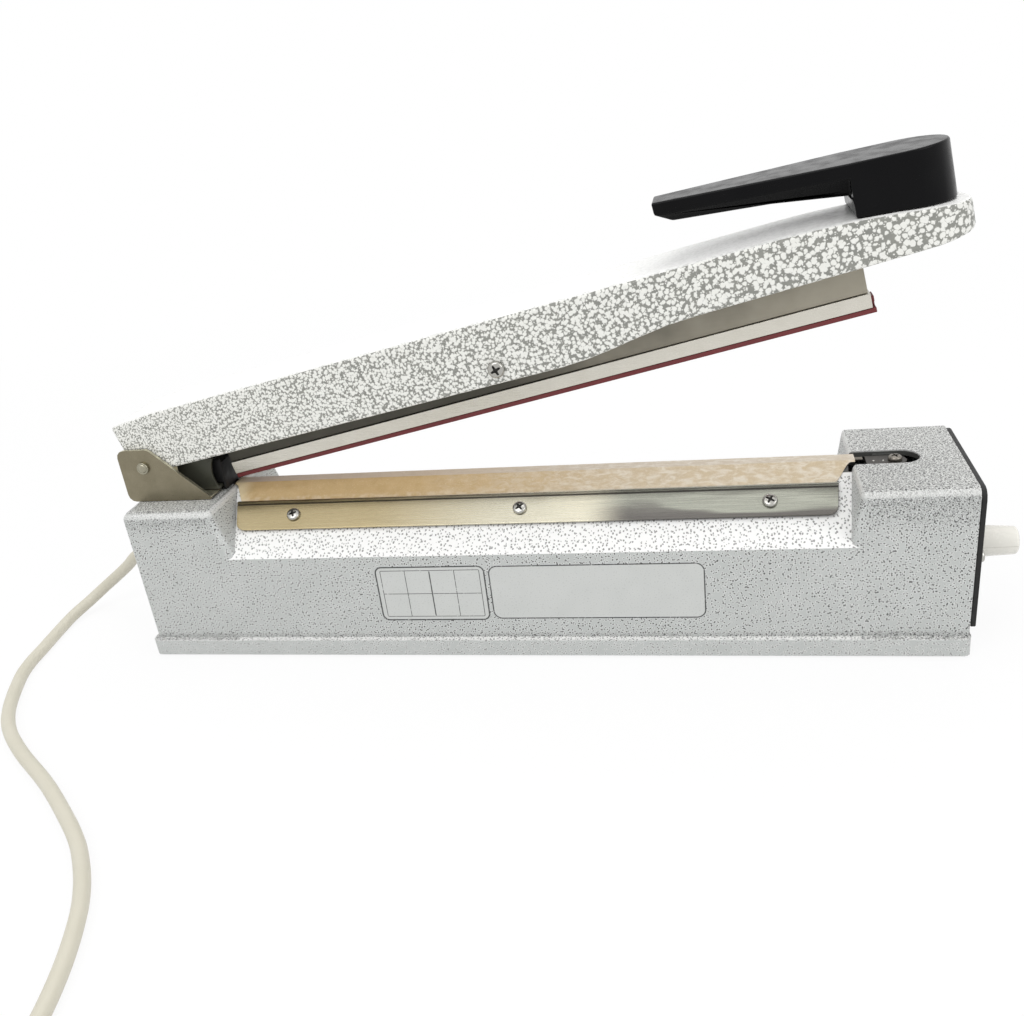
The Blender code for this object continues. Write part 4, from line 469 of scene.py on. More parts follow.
def polished_strip():
    """Bright rolled steel, its colour painted with soft brown and grey patches: painted
    reflections of a room.
    """
    f = Finish("polished_strip", 0.24, 1.0)
    x, y, z = f.split(f.place)
    # Painted reflections: warm patches to the left, dark grey patches low down and to the right.
    far = f.join(f.times(x, 0.18), f.times(y, 0.7), f.times(z, 1.2))
    reflection_patch = f.step(f.noise(15.0, 2.0, 0.5, far, 0.5), 0.46, 0.56)
    low = f.step(z, 76.0, 68.0)
    right = f.step(x, 236.0, 262.0)
    warm_reflection = f.mix(f.noise(34.0, 2.0), (0.415, 0.34, 0.19), (0.515, 0.43, 0.265))
    middle = f.mix(f.step(x, 120.0, 210.0), warm_reflection, (0.58, 0.55, 0.44))
    dark_reflection_share = f.times(f.linear(low, 0.75, 0.25), reflection_patch)
    dark_reflection = f.mix(f.times(dark_reflection_share, 0.9), (0.27, 0.275, 0.235), (0.1, 0.092, 0.088))
    groove = f.times(f.step(z, 75.75, 75.95), f.step(z, 76.55, 76.3))
    reflected_tone = f.mix(right, middle, dark_reflection)
    f.set("Base Color", f.mix(f.times(groove, 0.85), reflected_tone, (0.035, 0.03, 0.03)))
    lines = f.noise(0.5, 2.0, 0.5, f.join(f.times(x, 0.02), y, z))
    f.set("Roughness", f.step(lines, 0.3, 0.7, 0.2, 0.3))
    f.bump(lines, 0.006, 0.4)
    return f.material


def coated_cloth():
    """Tan coated glass cloth: a fine weave with painted glints, its top painted paler than the
    flaps' deeper gold.
    """
    f = Finish("coated_cloth", 0.42)
    x, y, z = f.split(f.place)
    thread = 0.42
    across = f.math("SINE", f.times(x, 2 * math.pi / thread))
    down = f.math("SINE", f.times(f.math("SUBTRACT", y, z), 2 * math.pi / thread))
    weave = f.times(across, down)
    # Painted light and shade: the top painted paler than the flaps, which are painted a deeper
    # gold.
    flat = f.step(f.split(f.normal)[2], 0.90, 0.98)
    gold = f.mix(f.noise(5.0, 3.0), (0.47, 0.32, 0.14), (0.60, 0.43, 0.215))
    light = f.mix(f.noise(12.0, 2.0), (0.50, 0.39, 0.265), (0.60, 0.475, 0.345))
    base = f.mix(flat, gold, light)
    creases = f.noise(2.4, 4.0, 0.66, f.join(f.times(x, 0.45), y, z), 0.5)
    # Painted sheen: the cloth painted paler to the right, with a whitish painted sheen on its
    # crinkles.
    right = f.step(f.linear(f.noise(20.0, 2.0), 60.0, x), 170.0, 300.0)
    base = f.mix(f.times(right, 0.45), base, (0.62, 0.58, 0.49))
    wear_and_highlight = f.times(right, f.step(creases, 0.4, 0.66))
    base = f.mix(f.times(wear_and_highlight, 0.5), base, (0.84, 0.81, 0.74))
    lip = f.times(f.step(z, 78.6, 77.4), f.step(f.noise(3.0, 2.0), 0.35, 0.65))
    base = f.mix(f.times(lip, 0.35), base, (0.8, 0.7, 0.55))
    # A painted highlight on the gathered fold at the left end.
    pinch = f.step(x, 62.0, 54.0)
    base = f.mix(f.times(pinch, 0.55), base, (0.84, 0.74, 0.5))
    # Painted glints: small painted highlights in the weave.
    glint = f.step(f.noise(0.35, 1.0), 0.60, 0.68)
    f.set("Base Color", f.mix(f.times(glint, 0.35), base, (0.86, 0.76, 0.56)))
    f.set("Roughness", f.step(weave, -1.0, 1.0, 0.34, 0.52))
    f.bump(weave, 0.03, 0.5)
    f.bump(creases, 0.16, 0.4)
    return f.material


def gloss_black():
    """Moulded black plastic with a soft gloss, faint rubs and small pale nicks."""
    f = Finish("gloss_black", 0.22)
    f.set("Specular IOR Level", 0.10)
    nicks = f.step(f.noise(1.6, 4.0, 0.75), 0.74, 0.78)
    base = f.mix(f.noise(20.0, 3.0), (0.0015, 0.0015, 0.002), (0.004, 0.004, 0.0045))
    f.set("Base Color", f.mix(f.times(nicks, 0.35), base, (0.1, 0.1, 0.1)))
    f.set("Roughness", f.step(f.noise(8.0, 4.0, 0.6), 0.35, 0.75, 0.2, 0.34))
    f.bump(f.noise(3.0, 1.0), 0.012, 0.4)
    return f.material


def bracket_steel():
    """Zinc plate gone olive, with a painted highlight along the upper edges of its cheeks."""
    f = brushed("plated_steel", (0.20, 0.178, 0.12), (0.28, 0.25, 0.178), 0.36, (0.3, 1, 1))
    nx, ny, nz = f.split(f.normal)
    # Painted highlight on the faces that turn up and to the right, the cheeks' slanted edges.
    wear_and_highlight = f.times(f.step(f.linear(nx, 0.5, nz), 0.35, 0.75),
                   f.step(f.math("ABSOLUTE", ny), 0.8, 0.5))
    base = f.shader.inputs["Base Color"].links[0].from_socket
    f.set("Base Color", f.mix(wear_and_highlight, base, (0.66, 0.63, 0.50)))
    return f.material


def channel_finish():
    """Plain steel strip, painted dark where it lies in the arm's shade and paler towards its free
    end, as painted light.
    """
    f = Finish("channel_steel", 0.40, 0.35)
    x, y, z = f.split(f.place)
    lines = f.noise(0.35, 3.0, 0.6, f.join(f.times(x, 0.04), y, z))
    # Painted shade towards the hinge end under the arm, and painted light towards the free end.
    wander = f.linear(f.noise(26.0, 3.0), 120.0, f.math("SUBTRACT", x, 60.0))
    pale = f.step(wander, 190.0, 350.0)
    dark = f.mix(f.noise(9.0, 3.0), (0.050, 0.047, 0.034), (0.085, 0.080, 0.060))
    light = f.mix(f.noise(12.0, 3.0), (0.30, 0.275, 0.215), (0.40, 0.37, 0.30))
    f.set("Base Color", f.mix(pale, dark, light))
    f.set("Roughness", f.step(lines, 0.3, 0.7, 0.34, 0.5))
    f.bump(lines, 0.012, 0.5)
    return f.material


def knob_finish():
    """Smooth cream plastic with a fine dark line along both sides at mid height, and painted shade
    on the rounded edge of its tip.
    """
    f = Finish("knob_cream", 0.25)
    x, y, z = f.split(f.place)
    line = f.step(f.away(z, knob_middle), 0.26, 0.06)
    # Painted shade: a dark greenish ring on the rounded edge of the tip.
    tip = f.times(f.step(x, 440.75, 441.1), f.step(x, 441.5, 441.19))
    base = f.mix(f.noise(9.0, 2.0), (0.80, 0.785, 0.72), (0.84, 0.825, 0.765))
    base = f.mix(f.times(line, 0.45), base, (0.42, 0.4, 0.34))
    f.set("Base Color", f.mix(f.times(tip, 0.7), base, (0.1, 0.13, 0.09)))
    f.set("Roughness", f.step(f.noise(3.0, 3.0), 0.3, 0.7, 0.2, 0.3))
    f.bump(line, -0.06, 0.6)
    return f.material


def dark_plate():
    """The black enamelled end plate: satin, slightly dusty in patches."""
    f = Finish("end_plate_black", 0.46)
    f.set("Specular IOR Level", 0.3)
    dust = f.step(f.noise(2.2, 4.0, 0.7), 0.60, 0.72)
    base = f.mix(f.noise(16.0, 3.0), (0.010, 0.010, 0.010), (0.016, 0.016, 0.016))
    f.set("Base Color", f.mix(f.times(dust, 0.25), base, (0.07, 0.07, 0.065)))
    f.set("Roughness", f.step(f.noise(1.2, 3.0), 0.3, 0.7, 0.4, 0.56))
    f.bump(f.noise(0.5, 2.0), 0.02, 0.5)
    return f.material


def lamp_glass():
    """A red lens, clear enough to glow a little at its edge."""
    f = plain("lamp_lens", (0.50, 0.015, 0.012), (0.62, 0.03, 0.02), 0.12)
    f.set("Transmission Weight", 0.25)
    f.set("IOR", 1.49)
    return f.material


# By slot or piece: two colours, roughness, and where they differ metallic share, grain and relief
plain_finishes = {
    "black_plastic": ((0.006, 0.006, 0.006), (0.011, 0.011, 0.011), 0.46),
    "cream_plastic": ((0.80, 0.79, 0.74), (0.84, 0.83, 0.78), 0.28),
    "cord_cream": ((0.58, 0.555, 0.455), (0.64, 0.61, 0.515), 0.46, 0.0, 3.0, 0.03),
    "screws": ((0.36, 0.355, 0.33), (0.50, 0.49, 0.46), 0.24, 1.0, 0.8),
    "screw_dark": ((0.17, 0.155, 0.135), (0.26, 0.24, 0.21), 0.34, 0.9, 0.8),
    # Near black for the faces of a screw's cross recess: painted shade.
    "screw_recess_shade": ((0.016, 0.015, 0.013), (0.035, 0.033, 0.03), 0.6, 0.3, 0.6),
    "springs": ((0.44, 0.44, 0.42), (0.55, 0.55, 0.53), 0.3, 1.0, 0.6),
    "pin_steel": ((0.28, 0.265, 0.20), (0.38, 0.36, 0.28), 0.3, 0.9, 0.7),
    "silicone": ((0.115, 0.012, 0.014), (0.17, 0.02, 0.022), 0.5, 0.0, 2.0),
    "bed_tape": ((0.74, 0.72, 0.66), (0.82, 0.80, 0.74), 0.8, 0.0, 0.6, 0.06),
    "circuit_board": ((0.03, 0.17, 0.07), (0.05, 0.24, 0.10), 0.35),
    "rubber": ((0.02, 0.02, 0.02), (0.035, 0.035, 0.034), 0.7, 0.0, 1.2, 0.04),
}
# The same: two colours, roughness, the lines' scale along each axis, and metallic share
brushed_finishes = {
    "lever_steel": ((0.032, 0.028, 0.024), (0.060, 0.054, 0.046), 0.42, (0.2, 1, 1), 0.4),
    # The spring guide's steel: a darker copy of the plated steel, painted shade for its place
    # inside the hinge.
    "shaded_guide_steel": ((0.040, 0.042, 0.030), (0.066, 0.066, 0.050), 0.45, (1, 1, 0.3), 0.4),
    "plain_steel": ((0.36, 0.36, 0.36), (0.46, 0.46, 0.46), 0.42, (0.1, 1, 1)),
    "ribbon": ((0.12, 0.105, 0.085), (0.18, 0.16, 0.13), 0.38, (0.05, 1, 1)),
    "bar_aluminium": ((0.60, 0.575, 0.505), (0.68, 0.655, 0.59), 0.3, (0.02, 1, 1), 0.85),
    "winding_tape": ((0.68, 0.56, 0.2), (0.76, 0.66, 0.3), 0.5, (1, 1, 6), 0.0),
}


def make_finishes():
    """Each material by its slot's name, or by its own where a piece departs from its slot."""
    made = {name: plain(name, *row) for name, row in plain_finishes.items()}
    made |= {name: brushed(name, *row) for name, row in brushed_finishes.items()}
    made["black_plastic"].set("Specular IOR Level", 0.22)
    return {name: f.material for name, f in made.items()} | {
        "body_paint": grey_hammertone(),
        "arm_paint": white_hammertone(),
        "end_plate_black": dark_plate(),
        "handle_black": gloss_black(),
        "knob": knob_finish(),
        "plated_steel": bracket_steel(),
        "polished_steel": polished_strip(),
        "channel_steel": channel_finish(),
        "nonstick_cloth": coated_cloth(),
        "lamp_lens": lamp_glass(),
    }


# Meshes and pieces

def settle(obj, *replaced, slot=None, body=None, finish=None):
    """Puts a piece on its body, gives it the finish of its slot and hides the CAD nodes that it
    stands for.
    """
    first = replaced[0] if replaced else None
    slot = slot or SLOT[first]
    if not obj.users_collection:
        bpy.context.scene.collection.objects.link(obj)
    obj.data.materials.clear()
    obj.data.materials.append(finish or FINISHES[slot])
    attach(obj, body or BODY[first])
    if replaced:
        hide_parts(*replaced)
    return obj


def smooth_shade(mesh, angle):
    """Smooth faces, and sharp edges past the angle."""
    mesh.shade_smooth()
    mesh.set_sharp_from_angle(angle=angle)


def object_from(name, bm, angle):
    mesh = bpy.data.meshes.new(name)
    bm.to_mesh(mesh)
    bm.free()
    smooth_shade(mesh, angle)
    made = bpy.data.objects.new(name, mesh)
    bpy.context.scene.collection.objects.link(made)
    return made


def bake_down(obj, angle):
    """Turns an object with modifiers into a plain mesh."""
    graph = bpy.context.evaluated_depsgraph_get()
    mesh = bpy.data.meshes.new_from_object(obj.evaluated_get(graph))
    obj.modifiers.clear()
    obj.data = mesh
    smooth_shade(mesh, angle)
    return obj


join_distance = 0.002 * mm
flat_angle = 0.4 * deg
bevel_angle = 38 * deg
shade_angle = 27 * deg
head_angle = 40 * deg
round_angle = 30 * deg
head_sides = 96

# Nodes whose finish isn't that of their slot
own_finish = {"spring_guide": "shaded_guide_steel", "tension_lever": "lever_steel"}


def read_node(node):
    """A CAD node's surface, with its flat faces whole again."""
    bm = bmesh.new()
    bm.from_mesh(nodes[node].data)
    bmesh.ops.remove_doubles(bm, verts=bm.verts, dist=join_distance)
    bmesh.ops.dissolve_limit(bm, angle_limit=flat_angle, verts=bm.verts, edges=bm.edges)
    return bm


def refine(name, node, width):
    """A CAD node's shape with its sharp edges softened."""
    made = object_from(name, read_node(node), shade_angle)
    if width:
        step = made.modifiers.new("edges", "BEVEL")
        step.width = width
        step.segments = 3
        step.limit_method = "ANGLE"
        step.angle_limit = bevel_angle
        step.use_clamp_overlap = node == "hinge_bracket" or node.startswith("foot")
        bake_down(made, shade_angle)
    even_normals(made)
    return settle(made, node, finish=FINISHES.get(own_finish.get(node)))


def even_normals(obj):
    """Flat faces shade flat, and only the rounded edges between them turn."""
    step = obj.modifiers.new("normals", "WEIGHTED_NORMAL")
    step.mode = "FACE_AREA"
    step.weight = 100
    step.keep_sharp = True


def fuller(name, node):
    """A wound wire made again from its node, rounder than the node's few sides."""
    bm = bmesh.new()
    bm.from_mesh(nodes[node].data)
    bmesh.ops.remove_doubles(bm, verts=bm.verts, dist=join_distance)
    made = object_from(name, bm, math.pi)
    step = made.modifiers.new("round", "SUBSURF")
    step.levels = step.render_levels = 1
    bake_down(made, math.pi)
    return settle(made, node)


def axis_turn(direction):
    """The turn that brings +Z to the direction."""
    return Vector((0, 0, 1)).rotation_difference(Vector(direction)).to_matrix().to_4x4()


def measure(node, direction):
    """A round node's axis, its lowest and highest place along the direction, and its radius."""
    spots = np.array([v.co for v in nodes[node].data.vertices])
    turn = np.array(axis_turn(direction).to_3x3())
    local = spots @ turn
    low, high = local.min(axis=0), local.max(axis=0)
    middle = (low + high) / 2
    base = turn @ np.array((middle[0], middle[1], 0.0))
    return base, low[2], high[2], (high - low)[:2].max() / 2


def turned_mesh(profile, steps):
    """A closed surface from a profile of radius and height that starts and ends on the axis."""
    bm = bmesh.new()
    rings = []
    for radius, height in profile:
        if radius < 1e-7:
            rings.append([bm.verts.new((0, 0, height))])
            continue
        rings.append([bm.verts.new((radius * math.cos(a), radius * math.sin(a), height))
                      for a in (2 * math.pi * k / steps for k in range(steps))])
    for upper, lower in zip(rings, rings[1:]):
        for k in range(steps):
            n = (k + 1) % steps
            corners = [upper[k % len(upper)], lower[k % len(lower)],
                       lower[n % len(lower)], upper[n % len(upper)]]
            unique = list(dict.fromkeys(corners))
            if len(unique) > 2:
                bm.faces.new(unique)
    bmesh.ops.recalc_face_normals(bm, faces=bm.faces)
    return bm


def quarter(radius, height, r, start, end, steps):
    """Points of a round edge in a profile, about a centre at (radius, height)."""
    return [(radius + r * math.cos(a), height + r * math.sin(a))
            for a in np.linspace(start, end, steps + 1)]


def place_turned(bm, origin, direction, spin=0.0):
    """Moves a turned mesh to its place, its axis along the direction."""
    turn = axis_turn(direction) @ Matrix.Rotation(spin, 4, "Z")
    bmesh.ops.transform(bm, matrix=Matrix.Translation(Vector(origin)) @ turn, verts=bm.verts)


# A pan-head screw: its low crown, and its cross recess in shares of the head's radius and height
crown_share = 0.66
crown_drop = 0.45
crown_rings = 22
cross_reach, cross_half, cross_taper = 0.60, 0.19, 0.10
cross_depth, cross_rise = 0.62, 0.30


def in_cross(x, y, radius):
    """Whether a place on a screw's head lies in its cross recess."""
    near, far = sorted((abs(x), abs(y)))
    reach = radius * cross_reach
    return far < reach and near < radius * (cross_half - cross_taper * far / reach)


def pan_head(name, node, direction, head_height, shank, spin, finish="screws"):
    """A pan-head screw in place of a node, with a cross recess in its head."""
    base, low, high, radius = measure(node, direction)
    seat = high - head_height
    soft = head_height * crown_drop
    crown = [crown_share * k / crown_rings for k in range(crown_rings + 1)]
    profile = [(radius * share, high - soft * 0.6 * share ** 2) for share in crown]
    edge = profile[-1][1]
    fall = min(head_height * 0.9, (high - edge) + soft * 1.6) - (high - edge)
    profile += [(radius * (crown_share + (1 - crown_share) * math.sin(a)),
                 edge - fall * (1 - math.cos(a)))
                for a in np.linspace(0.25, math.pi / 2, 7)]
    profile += [(radius, seat), (shank, seat), (shank, low), (0, low)]
    bm = turned_mesh(profile, head_sides)
    sunk = set()
    for v in bm.verts:
        if v.co.z > edge - 1e-9 and in_cross(v.co.x, v.co.y, radius):
            far = max(abs(v.co.x), abs(v.co.y)) / (radius * cross_reach)
            v.co.z = high - head_height * (cross_depth - cross_rise * far ** 3)
            sunk.add(v)
    for face in bm.faces:
        if sum(v in sunk for v in face.verts) * 2 > len(face.verts):
            face.material_index = 1
    place_turned(bm, base, direction, spin)
    made = object_from(name, bm, head_angle)
    # Face slots: 1 on the cross recess, whose near-black finish is painted shade.
    recess_shade_index = [face.material_index for face in made.data.polygons]
    settle(made, node, finish=FINISHES[finish])
    made.data.materials.append(FINISHES["screw_recess_shade"])
    made.data.polygons.foreach_set("material_index", recess_shade_index)
    return made


def revolved(name, node, profile, direction=(1, 0, 0), finish=None, steps=64):
    """A round piece in place of a node, its heights counted along the direction in machine mm."""
    base, _, _, _ = measure(node, direction)
    start = ORIGIN.dot(Vector(direction))
    points = [(radius * mm, height * mm + start) for radius, height in profile]
    bm = turned_mesh(points, steps)
    place_turned(bm, base, direction)
    made = object_from(name, bm, round_angle)
    even_normals(made)
    return settle(made, node, finish=finish)


lever_top = 81.6
rivet_side = -0.6
rivet_spots = (374.9, 379.3)
rivet_head = ((0, 0.3), (0.25, 0.27), (0.45, 0.16), (0.58, 0), (0, 0))


def lever_rivets():
    """Two small rivet heads on the top of the tension lever."""
    bm = bmesh.new()
    for x in rivet_spots:
        dome = turned_mesh([(radius * mm, height * mm) for radius, height in rivet_head], 24)
        place_turned(dome, at(x, rivet_side, lever_top), (0, 0, 1))
        part = bpy.data.meshes.new("rivet")
        dome.to_mesh(part)
        dome.free()
        bm.from_mesh(part)
        bpy.data.meshes.remove(part)
    made = object_from("lever_rivets", bm, 60 * deg)
    return settle(made, slot="screws", body=BODY["tension_lever"])


# Cloth

cloth_top = 83.71
cloth_left, cloth_right = 49.9, 366.2
cloth_crest = 3.62
cloth_foot = (13.42, 76.42)
crest_radius = 0.9
cloth_rows = 460
sheet_thickness = 0.12 * mm
end_share = 0.30
loose_ends = ((51.0, 66.0), (-366.0, -348.0))
cut_ends = ((50.6, 56.8), (-364.6, -355.4))


def cloth_section():
    """Half of the cloth's section, from the middle of its top down to the end of its flap."""
    foot = Vector(cloth_foot)
    crest = Vector((cloth_crest, cloth_top))
    slope = (foot - crest).normalized()
    bend = math.acos(max(-1.0, min(1.0, slope.x)))
    reach = crest_radius * math.tan(bend / 2)
    points = [Vector((cloth_crest * k / 7, cloth_top)) for k in range(7)]
    points[-1].x = min(points[-1].x, cloth_crest - reach - 0.05)
    centre = Vector((cloth_crest - reach, crest.y - crest_radius))
    for a in np.linspace(0, bend, 6):
        points.append(centre + Vector((math.sin(a), math.cos(a))) * crest_radius)
    end = points[-1].copy()
    points += [end.lerp(foot, k / 14) for k in range(1, 15)]
    return points


def smoothstep(value, low, high):
    """0 below the low value, 1 above the high one, and a smooth rise between them."""
    share = max(0.0, min(1.0, (value - low) / (high - low)))
    return share * share * (3 - 2 * share)


def cloth_spot(half, run, wanted):
    """The place on the half section after a run along it, and its outward way."""
    k = max(n for n in range(len(half)) if run[n] <= wanted + 1e-9)
    if k < len(half) - 1:
        base = half[k].lerp(half[k + 1], (wanted - run[k]) / (run[k + 1] - run[k]))
        way = (half[k + 1] - half[k]).normalized()
    else:
        base, way = half[k], (half[k] - half[k - 1]).normalized()
    out = Vector((-way.y, way.x))
    return base, -out if out.y < 0 else out


def cloth_lift(x, wanted, end, side):
    """How far the cloth stands off the ridge, in millimetres: flat on top, creased below."""
    loose = 1.0 - min(smoothstep(x, *loose_ends[0]), smoothstep(-x, *loose_ends[1]))
    flap = smoothstep(wanted, 3.3, 6.0)
    tuck = 1.0 - smoothstep(wanted, end - 2.4, end - 1.0)
    seed = Vector((x * 0.11, wanted * 0.16 * side, side * 3.0))
    crease = noise.noise(seed) + 0.5 * noise.noise(seed * 2.7)
    crease += 0.25 * noise.noise(seed * 6.1)
    fold = abs(noise.noise(Vector((x * 0.33 + wanted * 0.22, side * 5.0, 1.5)))) * 2 - 0.4
    lift = (0.03 + 0.24 * flap * tuck) * crease + 0.42 * loose * flap * tuck * fold
    return max(-0.10, min(0.45, lift)) if flap > 0.2 else max(-0.05, min(0.07, lift))


def make_cloth():
    """The coated cloth: stretched over the ridge, creased on its flaps, gathered at its ends."""
    half = cloth_section()
    count = len(half)
    run = [0.0]
    for a, b in zip(half, half[1:]):
        run.append(run[-1] + (b - a).length)
    bm = bmesh.new()
    rows = []
    for i in range(cloth_rows + 1):
        x = cloth_left + (cloth_right - cloth_left) * i / cloth_rows
        cut = min(smoothstep(x, *cut_ends[0]), smoothstep(-x, *cut_ends[1]))
        kept = end_share + (1 - end_share) * cut
        row = []
        for j in range(1 - count, count):
            side = -1 if j < 0 else 1
            wanted = run[abs(j)] * kept
            base, out = cloth_spot(half, run, wanted)
            place = base + out * cloth_lift(x, wanted, run[-1], side)
            row.append(bm.verts.new(at(x, side * place.x, place.y)))
        rows.append(row)
    for first, second in zip(rows, rows[1:]):
        for j in range(len(first) - 1):
            bm.faces.new((first[j], second[j], second[j + 1], first[j + 1]))
    bmesh.ops.recalc_face_normals(bm, faces=bm.faces)
    if sum(face.normal.z for face in bm.faces) < 0:
        bmesh.ops.reverse_faces(bm, faces=bm.faces)
    cloth = object_from("seal_cloth", bm, math.pi)
    step = cloth.modifiers.new("cloth", "SOLIDIFY")
    step.thickness = sheet_thickness
    step.offset = -1
    settle(cloth, "nonstick_cloth")
    return cloth


# Cord

cord_radius = 3.3 * mm
cord_exit_y = 12 * mm
cord_exit_z = 33 * mm
coil_turns = 2.25
coil_radius = 41 * mm
coil_centre = (121 * mm, -322 * mm)
coil_pitch = 7.3 * mm
coil_dip = 1.6 * mm
coil_lead_out = 30 * mm
loop_points = 24
cord_points = 36
line_points = 640
cord_gap = 0.3 * mm
cord_low = 1.8 * mm

# Places on the cord's free run, in machine millimetres
route_places = [
    (-46.0, 14.2, 22.6), (-58.5, 13.2, 13.8), (-69.0, 7.0, 6.2), (-74.5, -7.0, 2.6),
    (-73.6, -27.0, 1.8), (-71.4, -46.0, 1.8), (-69.0, -62.0, 1.8), (-56.8, -90.7, 1.8),
    (-43.6, -110.3, 1.8), (-24.3, -128.0, 1.8), (2.4, -148.1, 1.8), (23.7, -166.5, 1.8),
    (41.1, -183.3, 1.8), (53.1, -199.0, 1.8), (61.7, -213.6, 1.8), (68.4, -230.0, 1.8),
    (73.5, -247.0, 1.8), (77.0, -265.0, 1.8), (79.4, -290.0, 1.8),
]


def smooth_line(points, count):
    """Points at even spacing on a Catmull-Rom curve through the given ones."""
    spots = [np.array(p) for p in points]
    spots = [2 * spots[0] - spots[1], *spots, 2 * spots[-1] - spots[-2]]
    fine = []
    for a, b, c, d in zip(spots, spots[1:], spots[2:], spots[3:]):
        for t in np.linspace(0, 1, 24, endpoint=False):
            fine.append(0.5 * (2 * b + (c - a) * t + (2 * a - 5 * b + 4 * c - d) * t * t
                               + (3 * b - a - 3 * c + d) * t ** 3))
    fine.append(spots[-2])
    fine = np.array(fine)
    run = np.concatenate([[0], np.cumsum(np.linalg.norm(np.diff(fine, axis=0), axis=1))])
    even = np.linspace(0, run[-1], count)
    return np.stack([np.interp(even, run, fine[:, k]) for k in range(3)], axis=1)


def coil_line():
    """Loops that spiral in on the floor, up a layer in half a turn, and out again."""
    lower, upper = cord_low, cord_low + coil_pitch
    steps = int(round(coil_turns * loop_points))
    points = []
    for k in range(steps + 1):
        turn = k / loop_points
        points.append((coil_radius - coil_pitch * turn, math.pi + 2 * math.pi * turn, lower))
    inner = points[-1]
    climb = loop_points // 2
    for k in range(1, climb + 1):
        share = k / climb
        points.append((inner[0] - coil_dip * math.sin(math.pi * share),
                       inner[1] + math.pi * share,
                       lower + (upper - lower) * smoothstep(share, 0, 1)))
    last = points[-1]
    for k in range(1, steps + 1):
        turn = k / loop_points
        points.append((last[0] + coil_pitch * turn, last[1] + 2 * math.pi * turn, upper))
    loops = [Vector((coil_centre[0] + r * math.cos(a), coil_centre[1] + r * math.sin(a), z))
             for r, a, z in points]
    way = (loops[-1] - loops[-2]).normalized()
    lead_in = loops[0] + Vector((0, 2 * cord_radius, 0))
    return [lead_in, *loops, loops[-1] + way * coil_lead_out]


def make_cord():
    """The mains cord: out of its sleeve, over the floor, into its coil and to the plug."""
    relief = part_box("strain_relief")
    start = Vector((relief[0][0] - ORIGIN.x - cord_gap, cord_exit_y, cord_exit_z))
    coil = coil_line()
    straight = 2 * cord_radius
    first = coil[0]
    cord_route = [tuple(value * mm for value in place) for place in route_places]
    route = [(start.x - straight, start.y, start.z), *cord_route,
             (first.x, first.y + cord_gap + straight, first.z)]
    free = smooth_line(route, cord_points)
    whole = [tuple(start), *map(tuple, free), (first.x, first.y + cord_gap, first.z),
             *map(tuple, coil)]
    line = smooth_line(whole, line_points)
    runs = np.linalg.norm(np.diff(line, axis=0), axis=1).sum()
    curve = bpy.data.curves.new("mains_cord", "CURVE")
    curve.dimensions = "3D"
    curve.bevel_depth = cord_radius
    curve.bevel_resolution = 5
    curve.use_fill_caps = True
    spline = curve.splines.new("POLY")
    spline.points.add(len(line) - 1)
    for point, place in zip(spline.points, line):
        point.co = (*(Vector(place) + ORIGIN), 1)
    spline.use_smooth = True
    cord = bpy.data.objects.new("mains_cord", curve)
    bpy.context.scene.collection.objects.link(cord)
    curve.materials.append(FINISHES["cord_cream"])
    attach(cord, "root")
    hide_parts("power_cord", "cord_coil")
    return cord, start + ORIGIN, runs


# Stage

floor_half = 12
glow_start, glow_full = 0.35, 1.0
glow_least = 0.90
world_level = 0.62
lamp_aim = Vector((0, 0, 0.08))
# Each lamp's name, place, width and power
lamps = (
    ("key", (-0.5, -1.1, 1.5), 1.2, 11.0),
    ("fill", (1.2, -0.7, 0.9), 1.0, 5.0),
    ("top", (0.1, 0.4, 1.6), 1.4, 9.0),
)


def seen_rays(tree):
    """1 on what the camera sees, straight or mirrored in a piece, and 0 on other light."""
    path = tree.node("ShaderNodeLightPath")
    return tree.most(path.outputs["Is Camera Ray"], path.outputs["Is Glossy Ray"])


def floor_material():
    """Matt white that the camera sees as nearly even light, so that only shadows show on it."""
    material = bpy.data.materials.new("floor")
    tree = Tree(material)
    shader = tree.tree.nodes["Principled BSDF"]
    for name, value in (("Base Color", (0.9, 0.9, 0.9)), ("Roughness", 0.9),
                        ("Specular IOR Level", 0.1)):
        tree.feed(shader.inputs[name], value)
    glow = tree.node("ShaderNodeEmission")
    tree.feed(glow.inputs["Color"], (1, 1, 1))
    tree.feed(glow.inputs["Strength"], 1.0)
    spot = tree.node("ShaderNodeTexCoord")
    away = tree.node("ShaderNodeVectorMath", operation="LENGTH")
    tree.feed(away.inputs[0], spot.outputs["Object"])
    far = tree.step(away.outputs["Value"], glow_start, glow_full, glow_least, 1.0)
    blend = tree.node("ShaderNodeMixShader")
    for socket, given in zip(blend.inputs, (tree.times(seen_rays(tree), far), shader.outputs[0],
                                            glow.outputs[0])):
        tree.feed(socket, given)
    tree.feed(tree.tree.nodes["Material Output"].inputs["Surface"], blend.outputs[0])
    return material


